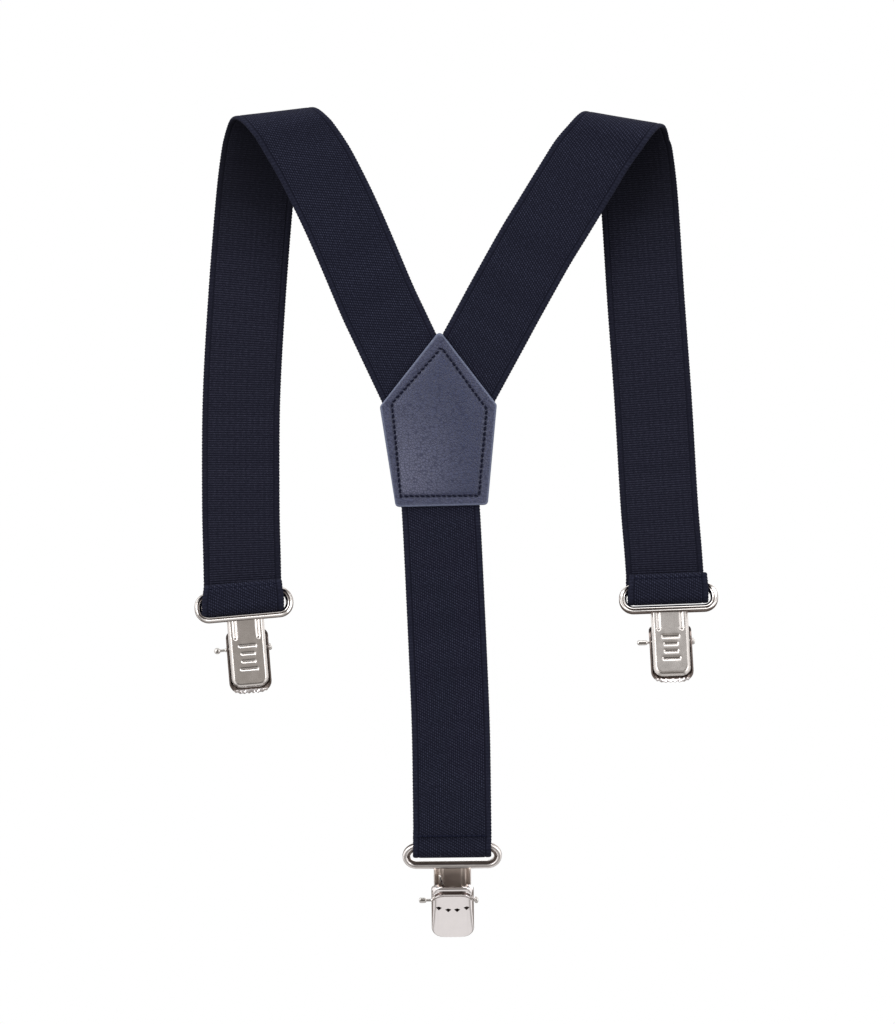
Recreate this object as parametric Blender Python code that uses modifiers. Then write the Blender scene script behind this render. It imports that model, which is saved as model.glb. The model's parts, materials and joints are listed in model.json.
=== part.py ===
"""Child-size Y-back suspenders, hanging as they do on a wearer and seen from behind.

Two straps run up from a leather cross patch, over the shoulders and down the front.
A third strap hangs from the patch.  Each strap ends in a loop that carries a sprung clip.

Frame: metres, +X to the wearer's right-hand side, +Z up, +Y from the back to the chest.
The origin is midway between the two shoulder folds, on the shoulders that hold the part up.
"""

from math import atan2, cos, pi, radians, sin

import bmesh
import bpy
from mathutils import Matrix, Vector

MM = 0.001
GAP = 0.3 * MM  # clearance between pieces that touch

# Webbing
WEB_WIDTH = 25.0 * MM
WEB_THICK = 1.3 * MM
FOLD_RADIUS = 6.0 * MM  # of the strap's middle plane over a shoulder
HINGE_GAP = 0.9 * MM  # clearance each side of a strap's bending line
HINGE_DROP = 2.0 * MM  # bending line of a front strap, below the end of the fold arc
SEAM_LAP = 2.0 * MM  # how far a folded end covers the seam behind it
ARC_STEPS = 10
CREST_LEAN = 1.7 * MM  # how far a fold's crest leans outwards
STRAP_STEPS = 12

# Leather patch, as corners (x, z) going round from the apex
LEATHER_THICK = 1.0 * MM
PATCH_CORNERS = [(-3.3, -62.6), (15.0, -86.3), (12.1, -118.3), (-17.3, -119.0), (-22.4, -86.9)]
PATCH_CORNER_RADIUS = 1.3 * MM
STITCH_INSET = 3.3 * MM
THREAD_RADIUS = 0.25 * MM
THREAD_LIFT = 0.1 * MM
PATCH_BOTTOM = -119.2 * MM  # lowest point of the leathers, rounded down

# Where the two back straps meet under the patch
MITRE_X = -3.4 * MM

# Straps as (x, z, angle of the width line above +X), in mm and degrees, going down each strap
LEFT_BACK = [(-49.9, 1.6, 13), (-46.0, -4.5, 18), (-42.3, -10.9, 21), (-35.9, -23.7, 24),
             (-30.2, -36.5, 24), (-23.4, -52.6, 24.5), (-18.9, -62.2, 25), (-8.3, -84.6, 25),
             (-4.6, -92.6, 25)]
LEFT_FRONT = [(-59.8, 1.6, 0), (-61.1, -5.1, -3), (-62.9, -20.5, -4.5), (-65.4, -52.6, -4.5),
              (-67.1, -84.6, -1), (-67.3, -116.7, 0), (-66.9, -136.0, 2), (-66.6, -150.0, 5)]
RIGHT_BACK = [(50.0, -0.3, -17), (45.4, -6.3, -22), (41.0, -13.4, -26), (32.7, -27.0, -29.5),
              (26.9, -36.5, -29.5), (17.9, -52.6, -29), (12.7, -62.2, -28.7), (0.5, -84.6, -28.7),
              (-2.6, -90.3, -28.7)]
RIGHT_FRONT = [(58.2, -0.3, -2), (59.0, -5.1, 2), (60.6, -20.5, 4.5), (63.1, -52.6, 4.5),
               (65.4, -84.6, 4.2), (67.3, -116.7, 3.5), (68.7, -134.0, 2.5), (69.8, -150.0, 2)]
BACK = [(-3.6, -110.0, 3), (-2.9, -119.9, 3.2), (-2.2, -132.7, 3.2), (-0.7, -164.7, 2.8),
        (0.3, -190.0, 1.5), (0.7, -216.0, 0.8), (0.8, -228.0, 0.6)]

# Folded strap ends in mm: the clip bar's (x, z), the loop's depth under the bar, the height of
# the folded end above it, and the spacing of the two layers' middle planes at its top
LEFT_END = {"bar": (-66.5, -146.8), "angle": 5.0, "drop": 5.7, "tab_top": 3.8, "spacing": 3.6}
RIGHT_END = {"bar": (70.1, -144.8), "angle": 2.0, "drop": 5.0, "tab_top": 4.6, "spacing": 3.6}
BACK_END = {"bar": (0.7, -227.6), "angle": 0.6, "drop": 3.1, "tab_top": 5.4, "spacing": 1.8}
LOOP_RADIUS = 2.05 * MM  # middle plane of the webbing round the clip's bar
BAR_CLEAR = 1.4 * MM  # height above the bar at which the folded end starts to close
HEM_FLAT = 1.6 * MM  # height of the flat hem at the folded end's top
HEM_INSET = 0.9 * MM  # stitching below the folded end's top
HEM_MARGIN = 1.5 * MM  # stitching short of the webbing's edges

# How each clip hangs: the side of its pin's long end, where that end's knob is in mm, its tilt
LEFT_HANG = (-1, 9.9, 5.0)
RIGHT_HANG = (-1, 9.3, 22.5)
BACK_HANG = (1, 9.6, 23.0)

# Clip: x across, y from the plate towards the jaw, z up, origin on the ring's top bar
RING_ROD = 1.1 * MM
RING_WIDTH = 31.8 * MM
RING_HEIGHT = 9.4 * MM
RING_CORNER = 3.4 * MM
PLATE_WIDTH = 11.7 * MM
PLATE_THICK = 1.0 * MM
PLATE_TOP = -7.1 * MM
PLATE_BOTTOM = -30.6 * MM
PLATE_CORNER = 2.6 * MM
NECK_FILLET = 1.6 * MM
RIB_RADIUS = 0.5 * MM
RIB_X = 3.7 * MM
RIB_Y = 0.35 * MM
RIB_ENDS = (-8.0 * MM, -14.4 * MM)
EAR_THICK = 0.8 * MM
EAR_INSET = 0.05 * MM  # from the plate's edges
EAR_DEPTH = 4.4 * MM
EAR_ENDS = (-15.0 * MM, -20.0 * MM)
PIN_Y = 3.1 * MM
PIN_Z = -17.5 * MM
PIN_RADIUS = 0.6 * MM
PIN_CLEARANCE = 0.12 * MM
PIN_LENGTH = 17.1 * MM  # of the rod between its two knobs
PIN_KNOB = 1.0 * MM
PIN_KNOB_SHAPE = (1.25, 0.8, 1.0)  # the long end's knob, as multiples of its radius
PIN_BEAD = 0.9 * MM
PIN_BEAD_SHAPE = (0.7, 0.8, 1.0)
JAW_WIDTH = 13.3 * MM
JAW_SHEET = 0.55 * MM
# jaw outline as (z, height of its crown above the plate, depth its side walls reach to)
JAW_ROWS = [(-11.3, 5.5, 4.4), (-12.4, 6.0, 3.3), (-14.6, 6.3, 1.9), (-17.5, 6.4, 1.2),
            (-20.5, 6.1, 1.0), (-24.0, 5.3, 1.0), (-27.5, 4.0, 1.0), (-30.2, 2.6, 1.0),
            (-31.9, 1.3, 0.9)]
JAW_BEND = 1.2 * MM  # size of the bend between the crown and a side wall
JAW_CROWN = 0.25 * MM  # extra height of the crown's middle
SPRING_WIRE = 0.35 * MM
SPRING_RADIUS = 1.45 * MM
SPRING_TURNS = 4
SPRING_PITCH = 0.95 * MM
SPRING_SEGMENTS = 10
SPRING_PLATE_LEG = (4.1 * MM, 1.4 * MM, 8.6 * MM)  # its end: across, off the plate, above the pin
SPRING_JAW_LEG = (0.3 * MM, 3.2 * MM)  # its end: beyond the turns, above the pin

# Colours
NAVY = (0.012, 0.014, 0.028, 1.0)
LEATHER = (0.045, 0.053, 0.105, 1.0)
THREAD = (0.010, 0.011, 0.022, 1.0)
NICKEL = (0.62, 0.60, 0.57, 1.0)
STEEL = (0.55, 0.54, 0.52, 1.0)


def clear_scene():
    for old in list(bpy.data.objects):
        bpy.data.objects.remove(old, do_unlink=True)


def new_collection(name):
    collection = bpy.data.collections.new(name)
    bpy.context.scene.collection.children.link(collection)
    return collection


def new_material(name, colour, roughness, metallic):
    material = bpy.data.materials.new(name)
    material.use_nodes = True
    shader = material.node_tree.nodes["Principled BSDF"]
    shader.inputs["Base Color"].default_value = colour
    shader.inputs["Roughness"].default_value = roughness
    shader.inputs["Metallic"].default_value = metallic
    material.diffuse_color = colour
    return material


def object_from_bmesh(name, bm, material, collection):
    bmesh.ops.recalc_face_normals(bm, faces=bm.faces)
    mesh = bpy.data.meshes.new(name)
    bm.to_mesh(mesh)
    bm.free()
    thing = bpy.data.objects.new(name, mesh)
    thing.data.materials.append(material)
    collection.objects.link(thing)
    return thing


def mesh_from_curve(curve_object):
    """The curve's closed mesh, with its loose caps welded."""
    bpy.context.view_layer.update()
    evaluated = curve_object.evaluated_get(bpy.context.evaluated_depsgraph_get())
    mesh = bpy.data.meshes.new_from_object(evaluated)
    bm = bmesh.new()
    bm.from_mesh(mesh)
    bmesh.ops.remove_doubles(bm, verts=bm.verts, dist=0.00001)
    bmesh.ops.recalc_face_normals(bm, faces=bm.faces)
    bm.to_mesh(mesh)
    bm.free()
    solid = bpy.data.objects.new(curve_object.name + "_mesh", mesh)
    solid.matrix_world = curve_object.matrix_world
    for collection in curve_object.users_collection:
        collection.objects.link(solid)
    bpy.data.objects.remove(curve_object, do_unlink=True)
    return solid


def wire(name, points, radius, material, collection, closed=False, sides=2):
    """A round wire or thread through the points."""
    curve = bpy.data.curves.new(name, "CURVE")
    curve.dimensions = "3D"
    curve.bevel_depth = radius
    curve.bevel_resolution = sides
    curve.use_fill_caps = not closed
    spline = curve.splines.new("POLY")
    spline.points.add(len(points) - 1)
    for place, point in zip(spline.points, points):
        place.co = (*point, 1.0)
    spline.use_cyclic_u = closed
    thing = bpy.data.objects.new(name, curve)
    thing.data.materials.append(material)
    collection.objects.link(thing)
    return thing


def flat_sheet(name, outline, thickness, edge, material, collection):
    """A flat sheet in the XZ plane, centred on Y = 0, from an outline of (x, z) points."""
    curve = bpy.data.curves.new(name, "CURVE")
    curve.dimensions = "2D"
    curve.fill_mode = "BOTH"
    curve.extrude = thickness / 2 - edge
    curve.bevel_depth = edge
    curve.bevel_resolution = 0
    curve.offset = -edge
    spline = curve.splines.new("POLY")
    spline.points.add(len(outline) - 1)
    for place, (x, z) in zip(spline.points, outline):
        place.co = (x, z, 0.0, 1.0)
    spline.use_cyclic_u = True
    thing = bpy.data.objects.new(name, curve)
    thing.data.materials.append(material)
    thing.matrix_world = Matrix.Rotation(pi / 2, 4, "X")
    collection.objects.link(thing)
    return thing


def boolean(target, cutter, operation):
    """Join a solid to the target, or cut it away, and remove it."""
    modifier = target.modifiers.new(operation.lower(), "BOOLEAN")
    modifier.operation = operation
    modifier.object = cutter
    modifier.solver = "EXACT"
    bpy.context.view_layer.update()
    evaluated = target.evaluated_get(bpy.context.evaluated_depsgraph_get())
    mesh = bpy.data.meshes.new_from_object(evaluated)
    target.modifiers.clear()
    target.data = mesh
    bpy.data.objects.remove(cutter, do_unlink=True)


def rounded_outline(corners, radius, steps=4):
    """Points round a convex polygon whose corners are rounded by arcs."""
    outline = []
    count = len(corners)
    for index in range(count):
        corner = Vector(corners[index])
        back = (Vector(corners[index - 1]) - corner).normalized()
        ahead = (Vector(corners[(index + 1) % count]) - corner).normalized()
        half_angle = back.angle(ahead) / 2
        reach = radius / abs(sin(half_angle)) * cos(half_angle)
        centre = corner + (back + ahead).normalized() * (radius / sin(half_angle))
        first = corner + back * reach - centre
        last = corner + ahead * reach - centre
        for step in range(steps + 1):
            blended = first.lerp(last, step / steps)
            outline.append(tuple(centre + blended.normalized() * radius))
    return outline


def inset_polygon(corners, distance):
    """A convex polygon, going clockwise, moved inwards by the distance on every side."""
    inner = []
    count = len(corners)
    for index in range(count):
        corner = Vector(corners[index])
        back = (Vector(corners[index - 1]) - corner).normalized()
        ahead = (Vector(corners[(index + 1) % count]) - corner).normalized()
        half_angle = back.angle(ahead) / 2
        inner.append(tuple(corner + (back + ahead).normalized() * (distance / sin(half_angle))))
    return inner


def smooth(points, fraction):
    """A point on a Catmull-Rom curve through the points, at a fraction of their count."""
    last = len(points) - 1
    place = min(max(fraction, 0.0), 1.0) * last
    index = min(int(place), last - 1)
    t = place - index
    ahead = points[min(index + 2, last)]
    near, far = points[index], points[index + 1]
    behind = points[max(index - 1, 0)]
    result = []
    for p0, p1, p2, p3 in zip(behind, near, far, ahead):
        slope_in = (p2 - p0) / 2
        slope_out = (p3 - p1) / 2
        result.append(
            (2 * t**3 - 3 * t**2 + 1) * p1 + (t**3 - 2 * t**2 + t) * slope_in
            + (3 * t**2 - 2 * t**3) * p2 + (t**3 - t**2) * slope_out
        )
    return result


def station(x, y, z, angle):
    """A cross-section of webbing: its centre and the direction of its width."""
    return Vector((x, y, z)), Vector((cos(angle), 0.0, sin(angle)))


def strap_stations(points, y, top=None, bottom=None, steps=STRAP_STEPS):
    """Cross-sections down a strap in the plane of constant y, between two heights."""
    found = []
    for step in range(steps + 1):
        x, z, degrees = smooth(points, step / steps)
        found.append([x * MM, z * MM, radians(degrees)])
    if top is not None:
        found = trim(found, top, True)
    if bottom is not None:
        found = trim(found, bottom, False)
    return [station(x, y, z, angle) for x, z, angle in found]


def trim(found, height, keep_below):
    """Cut a list of (x, z, angle) at a height."""
    kept = [row for row in found if (row[1] < height) == keep_below]
    if keep_below:
        upper, lower = found[len(found) - len(kept) - 1], kept[0]
    else:
        upper, lower = kept[-1], found[len(kept)]
    share = (height - upper[1]) / (lower[1] - upper[1])
    cut = [a + (b - a) * share for a, b in zip(upper, lower)]
    return [cut] + kept if keep_below else kept + [cut]


def fold_stations(back_points, front_points):
    """Cross-sections over a shoulder, from the back strap's plane to the front strap's."""
    lean = CREST_LEAN if front_points[0][0] > 0 else -CREST_LEAN
    x1, z1, angle1 = back_points[0]
    x2, z2, angle2 = front_points[0]
    found = []
    for step in range(ARC_STEPS + 1):
        share = step / ARC_STEPS
        turn = pi * share
        x = (x1 + (x2 - x1) * share) * MM + lean * sin(turn)
        base = (z1 + (z2 - z1) * share) * MM
        angle = radians(angle1 + (angle2 - angle1) * share)
        found.append(station(x, -FOLD_RADIUS * cos(turn), base + FOLD_RADIUS * sin(turn), angle))
    return found


def ribbon(name, stations, material, collection, limit=None, level=()):
    """Webbing of even thickness through the cross-sections.

    limit names the edge that is cut off at the mitre, and level the ends that are cut level.
    """
    bm = bmesh.new()
    rings = []
    for index, (centre, across) in enumerate(stations):
        before = stations[max(index - 1, 0)][0]
        after = stations[min(index + 1, len(stations) - 1)][0]
        along = (after - before).normalized()
        normal = across.cross(along).normalized()
        left = centre - across * (WEB_WIDTH / 2)
        right = centre + across * (WEB_WIDTH / 2)
        if limit == "right" and right.x > MITRE_X - GAP / 2:
            right = left + (right - left) * ((MITRE_X - GAP / 2 - left.x) / (right.x - left.x))
        if limit == "left" and left.x < MITRE_X + GAP / 2:
            left = right + (left - right) * ((right.x - MITRE_X - GAP / 2) / (right.x - left.x))
        if index == 0 and "first" in level or index == len(stations) - 1 and "last" in level:
            left.z = right.z = centre.z
        half = normal * (WEB_THICK / 2)
        corners = (left - half, right - half, right + half, left + half)
        rings.append([bm.verts.new(corner) for corner in corners])
    for lower, upper in zip(rings, rings[1:]):
        for side in range(4):
            following = (side + 1) % 4
            bm.faces.new((lower[side], lower[following], upper[following], upper[side]))
    bm.faces.new(rings[0][::-1])
    bm.faces.new(rings[-1])
    return object_from_bmesh(name, bm, material, collection)


def side_strap(side, back_points, front_points, end, limit, materials, collection):
    """One strap from the patch, over the shoulder, down to the folded end."""
    back = strap_stations(back_points, -FOLD_RADIUS, steps=2 * STRAP_STEPS)
    arc = fold_stations(back_points, front_points)
    hinge = front_points[0][1] * MM - HINGE_DROP
    stub = strap_stations(front_points, FOLD_RADIUS, bottom=hinge + HINGE_GAP, steps=60)
    over_shoulder = back[::-1] + arc[1:] + stub[-1:]
    ribbon(f"{side}_back_webbing", over_shoulder, materials["webbing"], collection, limit,
           level=("last",))
    seam = end_seam(end)
    front = strap_stations(front_points, FOLD_RADIUS, hinge - HINGE_GAP, seam + GAP / 2)
    ribbon(f"{side}_front_webbing", front, materials["webbing"], collection,
           level=("first", "last"))
    return front[-1]


def end_seam(end):
    return (end["bar"][1] + end["tab_top"]) * MM - SEAM_LAP


def folded_end(name, end, joint_station, side, materials, collection):
    """The end of a strap, doubled back round the clip's bar; side is +1 in front, -1 behind."""
    bar_x, bar_z = (value * MM for value in end["bar"])
    top = Vector(joint_station[0])
    top.z -= GAP
    plane = side * FOLD_RADIUS
    bend_z = bar_z - (end["drop"] * MM - LOOP_RADIUS - WEB_THICK / 2)
    angle = radians(end["angle"])
    rows = [(top.x, plane, top.z, atan2(joint_station[1].z, joint_station[1].x))]
    bend_y = plane - side * LOOP_RADIUS
    for step in range(9):
        turn = pi * step / 8
        rows.append((bar_x, bend_y + side * LOOP_RADIUS * cos(turn),
                     bend_z - LOOP_RADIUS * sin(turn), angle))
    tab_top = bar_z + end["tab_top"] * MM
    clear = bar_z + BAR_CLEAR
    closed = tab_top - HEM_FLAT
    far = plane - side * 2 * LOOP_RADIUS
    near = plane - side * end["spacing"] * MM
    for share in (0.0, 0.25, 0.5, 0.75, 1.0):
        ease = share * share * (3 - 2 * share)
        rows.append((bar_x, far + (near - far) * ease, clear + (closed - clear) * share, angle))
    rows.append((bar_x, near, tab_top, angle))
    stations = [station(*row) for row in rows]
    ribbon(name, stations, materials["webbing"], collection, level=("first",))
    return near - side * (WEB_THICK / 2)


def hem_stitching(name, end, face, materials, collection):
    """The row of thread that closes a folded end, lying on the face at depth y."""
    bar_x, bar_z = (value * MM for value in end["bar"])
    angle = radians(end["angle"])
    z = bar_z + end["tab_top"] * MM - HEM_INSET
    half = WEB_WIDTH / 2 - HEM_MARGIN
    ends = []
    for reach in (-half, half):
        ends.append((bar_x + reach * cos(angle), face, z + reach * sin(angle)))
    return wire(name, ends, THREAD_RADIUS, materials["thread"], collection)


def leather_patch(materials, collection):
    corners = [(x * MM, z * MM) for x, z in PATCH_CORNERS]
    outline = rounded_outline(corners, PATCH_CORNER_RADIUS)
    offset = WEB_THICK / 2 + GAP + LEATHER_THICK / 2
    for name, y in (("leather_patch_front", -FOLD_RADIUS - offset),
                    ("leather_patch_back", -FOLD_RADIUS + offset)):
        sheet = flat_sheet(name + "_outline", outline, LEATHER_THICK, 0.15 * MM,
                           materials["leather"], collection)
        solid = mesh_from_curve(sheet)
        solid.name = name
        solid.data.transform(solid.matrix_world)
        solid.matrix_world = Matrix.Translation((0.0, y, 0.0))
    face = -FOLD_RADIUS - offset - LEATHER_THICK / 2
    line = rounded_outline(inset_polygon(corners, STITCH_INSET), 0.5 * MM, 2)
    depth = face - THREAD_LIFT - THREAD_RADIUS
    wire("patch_stitching", [(x, depth, z) for x, z in line], THREAD_RADIUS,
         materials["thread"], collection, closed=True)


def stadium(width, height, corner, steps=6):
    """Points of a rounded rectangle whose top side's middle line passes through the origin."""
    half = width / 2
    corners = [(-half, 0.0), (half, 0.0), (half, -height), (-half, -height)]
    return rounded_outline(corners, corner, steps)


def box(name, low, high, material, collection):
    bm = bmesh.new()
    bmesh.ops.create_cube(bm, size=1.0)
    size = [high[axis] - low[axis] for axis in range(3)]
    centre = [(high[axis] + low[axis]) / 2 for axis in range(3)]
    bmesh.ops.scale(bm, vec=size, verts=bm.verts)
    bmesh.ops.translate(bm, vec=centre, verts=bm.verts)
    return object_from_bmesh(name, bm, material, collection)


def rod_along_x(name, x1, x2, y, z, radius, segments, material, collection):
    bm = bmesh.new()
    bmesh.ops.create_cone(bm, cap_ends=True, segments=segments, radius1=radius, radius2=radius,
                          depth=abs(x2 - x1))
    bmesh.ops.rotate(bm, matrix=Matrix.Rotation(pi / 2, 3, "Y"), verts=bm.verts)
    bmesh.ops.translate(bm, vec=((x1 + x2) / 2, y, z), verts=bm.verts)
    return object_from_bmesh(name, bm, material, collection)


def clip_frame(name, place, materials, collection, cutters):
    """Ring and plate, stamped and rolled from one strip."""
    nickel = materials["nickel"]
    loop = stadium(RING_WIDTH - 2 * RING_ROD, RING_HEIGHT - 2 * RING_ROD, RING_CORNER)
    ring = mesh_from_curve(wire(name + "_ring", [(x, 0.0, z) for x, z in loop], RING_ROD, nickel,
                                collection, closed=True))
    half = PLATE_WIDTH / 2
    flare = half + NECK_FILLET
    neck = PLATE_TOP - NECK_FILLET
    corners = [(-half, neck), (half, neck), (half, PLATE_BOTTOM), (-half, PLATE_BOTTOM)]
    rounded = rounded_outline(corners, PLATE_CORNER, 5)
    lower = [point for point in rounded if point[1] < neck - 2 * PLATE_CORNER]
    fillets = []
    for step in range(5):
        turn = pi / 2 * step / 4
        fillets.append((flare - NECK_FILLET * sin(turn), PLATE_TOP - NECK_FILLET * (1 - cos(turn))))
    outline = [(-x, z) for x, z in fillets[::-1]] + fillets + lower
    plate = mesh_from_curve(flat_sheet(name + "_plate", outline, PLATE_THICK, 0.2 * MM, nickel,
                                       cutters))
    plate.data.transform(plate.matrix_world)
    plate.matrix_world = Matrix.Identity(4)
    boolean(ring, plate, "UNION")
    top, bottom = EAR_ENDS
    for side in (-1, 1):
        inner = side * (half - EAR_THICK)
        outer = side * (half - EAR_INSET)
        ear = box(name + "_ear", (min(inner, outer), 0.0, bottom), (max(inner, outer), EAR_DEPTH, top),
                  nickel, cutters)
        boolean(ring, ear, "UNION")
        rib = mesh_from_curve(wire(name + "_rib", [(side * RIB_X, RIB_Y, z) for z in RIB_ENDS],
                                   RIB_RADIUS, nickel, cutters))
        boolean(ring, rib, "UNION")
    hole = rod_along_x(name + "_hole", -half - MM, half + MM, PIN_Y, PIN_Z,
                       PIN_RADIUS + PIN_CLEARANCE, 16, nickel, cutters)
    boolean(ring, hole, "DIFFERENCE")
    ring.name = name
    ring.matrix_world = place
    return ring


def clip_jaw(name, place, materials, collection, cutters):
    """The pressed jaw: a crowned cover with side walls that straddle the plate."""
    half = JAW_WIDTH / 2
    bm = bmesh.new()
    rows = []
    for z_mm, crown_mm, wall_mm in JAW_ROWS:
        z, crown, wall = z_mm * MM, crown_mm * MM, wall_mm * MM
        bend = min(JAW_BEND, (crown - wall) * 0.6)
        profile = [(-half, wall), (-half, crown - bend), (-half + 0.3 * bend, crown - 0.3 * bend),
                   (-half + bend, crown), (0.0, crown + JAW_CROWN)]
        profile += [(-x, y) for x, y in profile[-2::-1]]
        rows.append([bm.verts.new((x, y, z)) for x, y in profile])
    for upper, lower in zip(rows, rows[1:]):
        for index in range(len(upper) - 1):
            bm.faces.new((upper[index], upper[index + 1], lower[index + 1], lower[index]))
    jaw = object_from_bmesh(name, bm, materials["nickel"], collection)
    bm = bmesh.new()
    bm.from_mesh(jaw.data)
    middle = [face for face in bm.faces if abs(face.calc_center_median().x) < half / 2]
    if middle[0].normal.y < 0:
        bmesh.ops.reverse_faces(bm, faces=bm.faces)
    bm.to_mesh(jaw.data)
    bm.free()
    shell = jaw.modifiers.new("sheet", "SOLIDIFY")
    shell.thickness = JAW_SHEET
    shell.offset = -1.0
    shell.use_even_offset = True
    hole = rod_along_x(name + "_hole", -half - MM, half + MM, PIN_Y, PIN_Z,
                       PIN_RADIUS + PIN_CLEARANCE, 16, materials["nickel"], cutters)
    boolean(jaw, hole, "DIFFERENCE")
    jaw.data.transform(Matrix.Translation((0.0, -PIN_Y, -PIN_Z)))
    jaw.matrix_world = place @ Matrix.Translation((0.0, PIN_Y, PIN_Z))
    return jaw


def clip_pin(name, place, long_side, pin_end, materials, collection, cutters):
    """The hinge pin: a flattened knob on its long end, a bead on the short one."""
    reach = long_side * pin_end * MM
    stop = reach - long_side * PIN_LENGTH
    pin = rod_along_x(name, stop, reach, PIN_Y, PIN_Z, PIN_RADIUS, 12, materials["steel"], collection)
    for x, radius, shape in ((reach, PIN_KNOB, PIN_KNOB_SHAPE), (stop, PIN_BEAD, PIN_BEAD_SHAPE)):
        bm = bmesh.new()
        bmesh.ops.create_uvsphere(bm, u_segments=10, v_segments=6, radius=radius)
        bmesh.ops.scale(bm, vec=shape, verts=bm.verts)
        bmesh.ops.translate(bm, vec=(x, PIN_Y, PIN_Z), verts=bm.verts)
        knob = object_from_bmesh(name + "_knob", bm, materials["steel"], cutters)
        boolean(pin, knob, "UNION")
    pin.matrix_world = place
    return pin


def clip_spring(name, place, plate_side, materials, collection):
    """The torsion spring: turns round the pin, one leg on the plate, one under the jaw."""
    width = SPRING_TURNS * SPRING_PITCH
    across, off_plate, above = SPRING_PLATE_LEG
    points = [(-across, off_plate, PIN_Z + above)]
    count = int((SPRING_TURNS - 0.5) * SPRING_SEGMENTS)
    for step in range(count + 1):
        turn = 2 * pi * step / SPRING_SEGMENTS + pi
        x = -width / 2 + width * step / count
        points.append((x, PIN_Y + SPRING_RADIUS * cos(turn), PIN_Z + SPRING_RADIUS * sin(turn)))
    beyond, above = SPRING_JAW_LEG
    points.append((width / 2 + beyond, PIN_Y + SPRING_RADIUS, PIN_Z + above))
    turned = [(-plate_side * x, y, z) for x, y, z in points]
    spring = mesh_from_curve(wire(name + "_wire", turned, SPRING_WIRE, materials["steel"],
                                  collection, sides=1))
    spring.name = name
    spring.matrix_world = place
    return spring


def clip(side_name, end, facing, hang, materials, collection, cutters):
    """One clip hanging from a strap's end; facing is +1 when its jaw points to the chest."""
    long_side, pin_end, tilt = hang
    bar_x, bar_z = (value * MM for value in end["bar"])
    bar_y = facing * (FOLD_RADIUS - LOOP_RADIUS)
    place = (Matrix.Translation((bar_x, bar_y, bar_z))
             @ Matrix.Rotation(-radians(end["angle"]), 4, "Y")
             @ Matrix.Rotation(radians(0.0 if facing > 0 else 180.0), 4, "Z")
             @ Matrix.Rotation(-radians(tilt), 4, "X"))
    clip_frame(f"{side_name}_clip_frame", place, materials, collection, cutters)
    clip_jaw(f"{side_name}_clip_jaw", place, materials, collection, cutters)
    clip_pin(f"{side_name}_clip_pin", place, long_side, pin_end, materials, collection, cutters)
    clip_spring(f"{side_name}_clip_spring", place, long_side, materials, collection)


def back_strap(materials, collection):
    """The strap under the patch, with the short piece that is sewn between the leathers."""
    hinge = PATCH_BOTTOM - HINGE_GAP - 0.1 * MM
    tail = strap_stations(BACK, -FOLD_RADIUS, bottom=hinge + HINGE_GAP, steps=60)
    ribbon("back_webbing_anchor", [tail[0], tail[-1]], materials["webbing"], collection,
           level=("last",))
    seam = end_seam(BACK_END)
    free = strap_stations(BACK, -FOLD_RADIUS, hinge - HINGE_GAP, seam + GAP / 2)
    ribbon("back_webbing", free, materials["webbing"], collection, level=("first", "last"))
    return free[-1]


def main():
    clear_scene()
    parts = new_collection("suspenders")
    cutters = new_collection("cutters")
    materials = {
        "webbing": new_material("webbing", NAVY, 0.85, 0.0),
        "leather": new_material("leather", LEATHER, 0.45, 0.0),
        "thread": new_material("thread", THREAD, 0.7, 0.0),
        "nickel": new_material("nickel", NICKEL, 0.22, 1.0),
        "steel": new_material("steel", STEEL, 0.3, 1.0),
    }
    leather_patch(materials, parts)
    left = side_strap("left", LEFT_BACK, LEFT_FRONT, LEFT_END, "right", materials, parts)
    right = side_strap("right", RIGHT_BACK, RIGHT_FRONT, RIGHT_END, "left", materials, parts)
    back = back_strap(materials, parts)
    ends = (("left", LEFT_END, left, 1, LEFT_HANG), ("right", RIGHT_END, right, 1, RIGHT_HANG),
            ("back", BACK_END, back, -1, BACK_HANG))
    for name, end, joint_station, facing, hang in ends:
        face = folded_end(f"{name}_end_loop", end, joint_station, facing, materials, parts)
        if facing > 0:
            thread_y = face - THREAD_LIFT - THREAD_RADIUS
        else:
            thread_y = -FOLD_RADIUS - WEB_THICK / 2 - THREAD_LIFT - THREAD_RADIUS
        hem_stitching(f"{name}_hem_stitching", end, thread_y, materials, parts)
        clip(name, end, facing, hang, materials, parts, cutters)
    bpy.data.collections.remove(cutters)


main()
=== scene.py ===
"""The looks of the child-size suspenders: woven webbing, stitched leather and nickel clips.

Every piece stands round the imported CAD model, in its frame: metres, +X to the right as seen from
behind the wearer, +Z up, and +Y from the back straps to the front ones.
"""

import json
from math import cos, exp, pi, radians, sin, sqrt, tan

import bmesh
import bpy
import numpy as np
from mathutils import Matrix, Vector


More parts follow.
